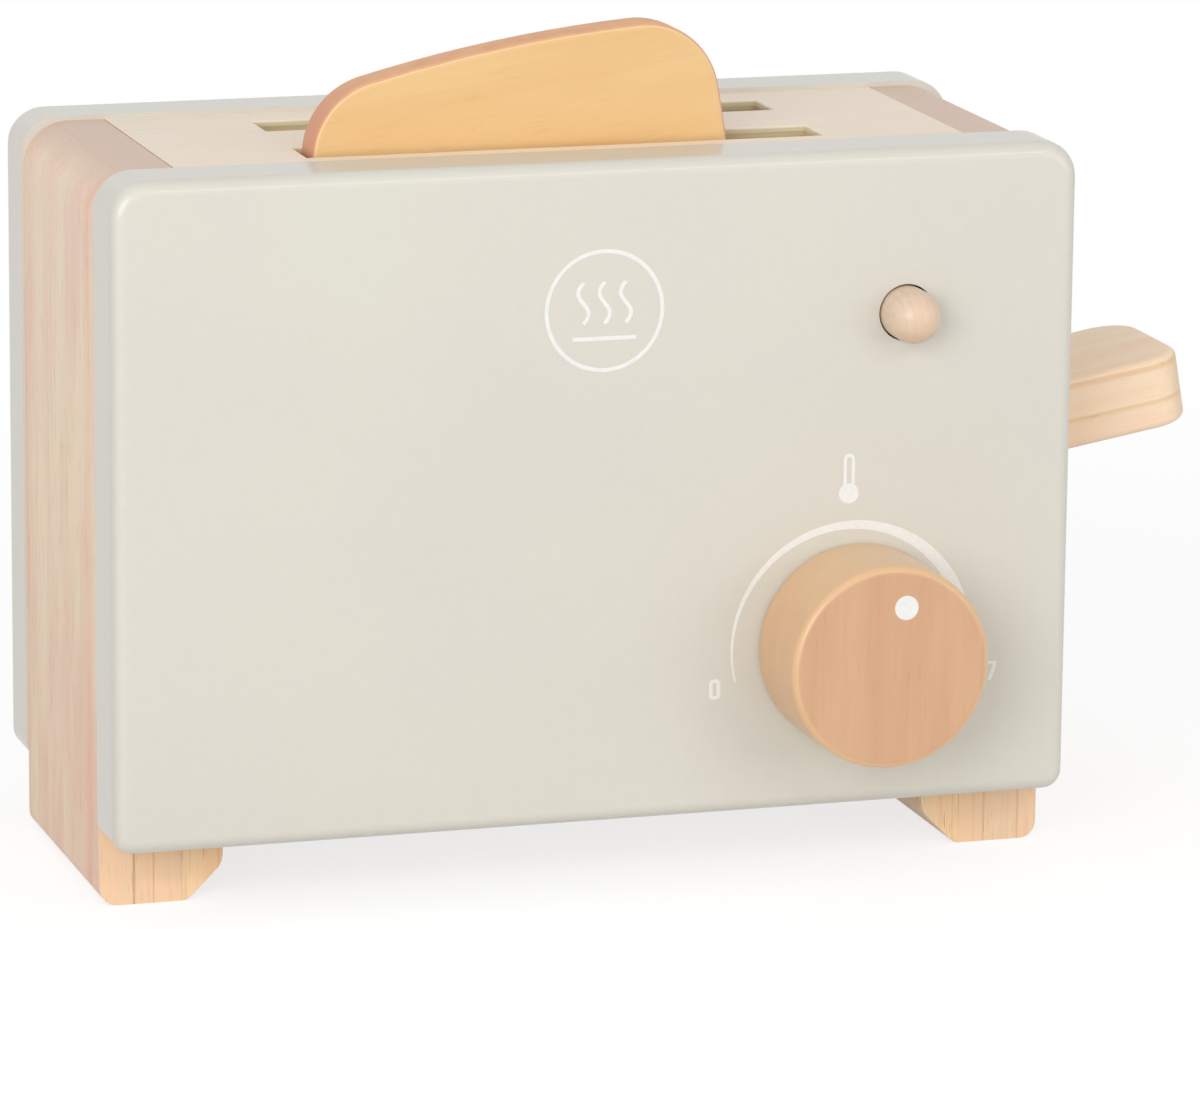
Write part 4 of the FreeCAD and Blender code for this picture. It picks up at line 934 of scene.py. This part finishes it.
# In metres: the floor's side, and where the paper starts and ends its fade to white.
FLOOR_SIZE = 40.0
FADE_FROM = 0.25
FADE_TO = 0.6
NEAR_GLOW = 0.75
AIR_LIGHT = 0.6


def background_rays(tree):
    """1 for the rays that show the studio itself, seen straight or in gloss or glass."""
    rays = node(tree, "ShaderNodeLightPath")
    seen = node(tree, "ShaderNodeMath", {
        0: rays.outputs["Is Camera Ray"], 1: rays.outputs["Is Glossy Ray"]},
        operation="MAXIMUM")
    return node(tree, "ShaderNodeMath", {
        0: seen, 1: rays.outputs["Is Transmission Ray"]}, operation="MAXIMUM")


# White paper: it takes the soft shadow near the object, and is plain white further off.
paper_white, tree, place = blank_material("Studio_floor_white")
shown = background_rays(tree)
away = node(tree, "ShaderNodeVectorMath", {0: place.outputs["Object"]}, operation="LENGTH")
fade = node(tree, "ShaderNodeMapRange", {
    "Value": away.outputs["Value"], "From Min": FADE_FROM, "From Max": FADE_TO},
    interpolation_type="SMOOTHSTEP")
white = node(tree, "ShaderNodeEmission", {"Color": (1, 1, 1, 1), "Strength": 1.0})
paper = node(tree, "ShaderNodeBsdfDiffuse", {"Color": linear("#9A9A9A")})
glow = node(tree, "ShaderNodeEmission", {"Color": (1, 1, 1, 1), "Strength": NEAR_GLOW})
lit_paper = node(tree, "ShaderNodeAddShader", {0: paper, 1: glow})
bounce = node(tree, "ShaderNodeBsdfDiffuse", {"Color": linear("#E2E2E2")})
near_or_far = node(tree, "ShaderNodeMixShader", {0: fade, 1: lit_paper, 2: white})
floor_look = node(tree, "ShaderNodeMixShader", {0: shown, 1: bounce, 2: near_or_far})
node(tree, "ShaderNodeOutputMaterial", {"Surface": floor_look})

mesh = bpy.data.meshes.new("studio_floor")
half = FLOOR_SIZE / 2
mesh.from_pydata([(-half, -half, 0), (half, -half, 0), (half, half, 0), (-half, half, 0)],
                 [], [(0, 1, 2, 3)])
mesh.materials.append(paper_white)
floor = in_scene("studio_floor", mesh)

world = bpy.data.worlds.new("Studio_air")
bpy.context.scene.world = world
world.use_nodes = True
tree = world.node_tree
tree.nodes.clear()
shown = background_rays(tree)
air = node(tree, "ShaderNodeBackground", {"Color": (1, 1, 1, 1), "Strength": AIR_LIGHT})
backdrop = node(tree, "ShaderNodeBackground", {"Color": (1, 1, 1, 1), "Strength": 1.0})
both = node(tree, "ShaderNodeMixShader", {0: shown, 1: air, 2: backdrop})
node(tree, "ShaderNodeOutputWorld", {"Surface": both})


def soft_lamp(name, place, width, height, power):
    """A soft box, width by height in metres, that shines at the middle of the object."""
    lamp = bpy.data.lights.new(name, "AREA")
    lamp.shape = "RECTANGLE"
    lamp.size = width
    lamp.size_y = height
    lamp.energy = power
    holder = in_scene(name, lamp)
    aim = Vector((0, 0, 0.08)) - Vector(place)
    holder.matrix_world = (Matrix.Translation(place)
                           @ aim.to_track_quat("-Z", "Y").to_matrix().to_4x4())


soft_lamp("Key_left", (-0.95, -1.2, 0.57), 0.9, 0.9, 11.0)
soft_lamp("Strip_above_the_front", (0.39, -1.09, 0.79), 0.9, 0.08, 1.8)
soft_lamp("Fill_right", (1.0, -1.1, 0.3), 0.9, 0.5, 2.5)

# The camera stands well back with a long lens, a little left of the front and above the top.
CAMERA_PLACE = (-0.4130, -1.3685, 0.3932)
CAMERA_YAW = math.radians(17.386)
CAMERA_PITCH = math.radians(13.101)
CAMERA_ROLL = math.radians(0.555)
lens = bpy.data.cameras.new("Studio_camera")
lens.sensor_fit = "HORIZONTAL"
lens.sensor_width = 36.0
lens.lens = 213.7
lens.shift_x = -0.0047
lens.shift_y = -0.003
camera = in_scene("Studio_camera", lens)
ahead = Vector((math.sin(CAMERA_YAW) * math.cos(CAMERA_PITCH),
                math.cos(CAMERA_YAW) * math.cos(CAMERA_PITCH), -math.sin(CAMERA_PITCH)))
right = Vector((math.cos(CAMERA_YAW), -math.sin(CAMERA_YAW), 0))
up = right.cross(ahead)
rolled_right = math.cos(CAMERA_ROLL) * right + math.sin(CAMERA_ROLL) * up
rolled_up = math.cos(CAMERA_ROLL) * up - math.sin(CAMERA_ROLL) * right
turned = Matrix((rolled_right, rolled_up, -ahead)).transposed().to_4x4()
camera.matrix_world = Matrix.Translation(CAMERA_PLACE) @ turned
bpy.context.scene.camera = camera
bpy.context.scene.view_settings.view_transform = "Standard"
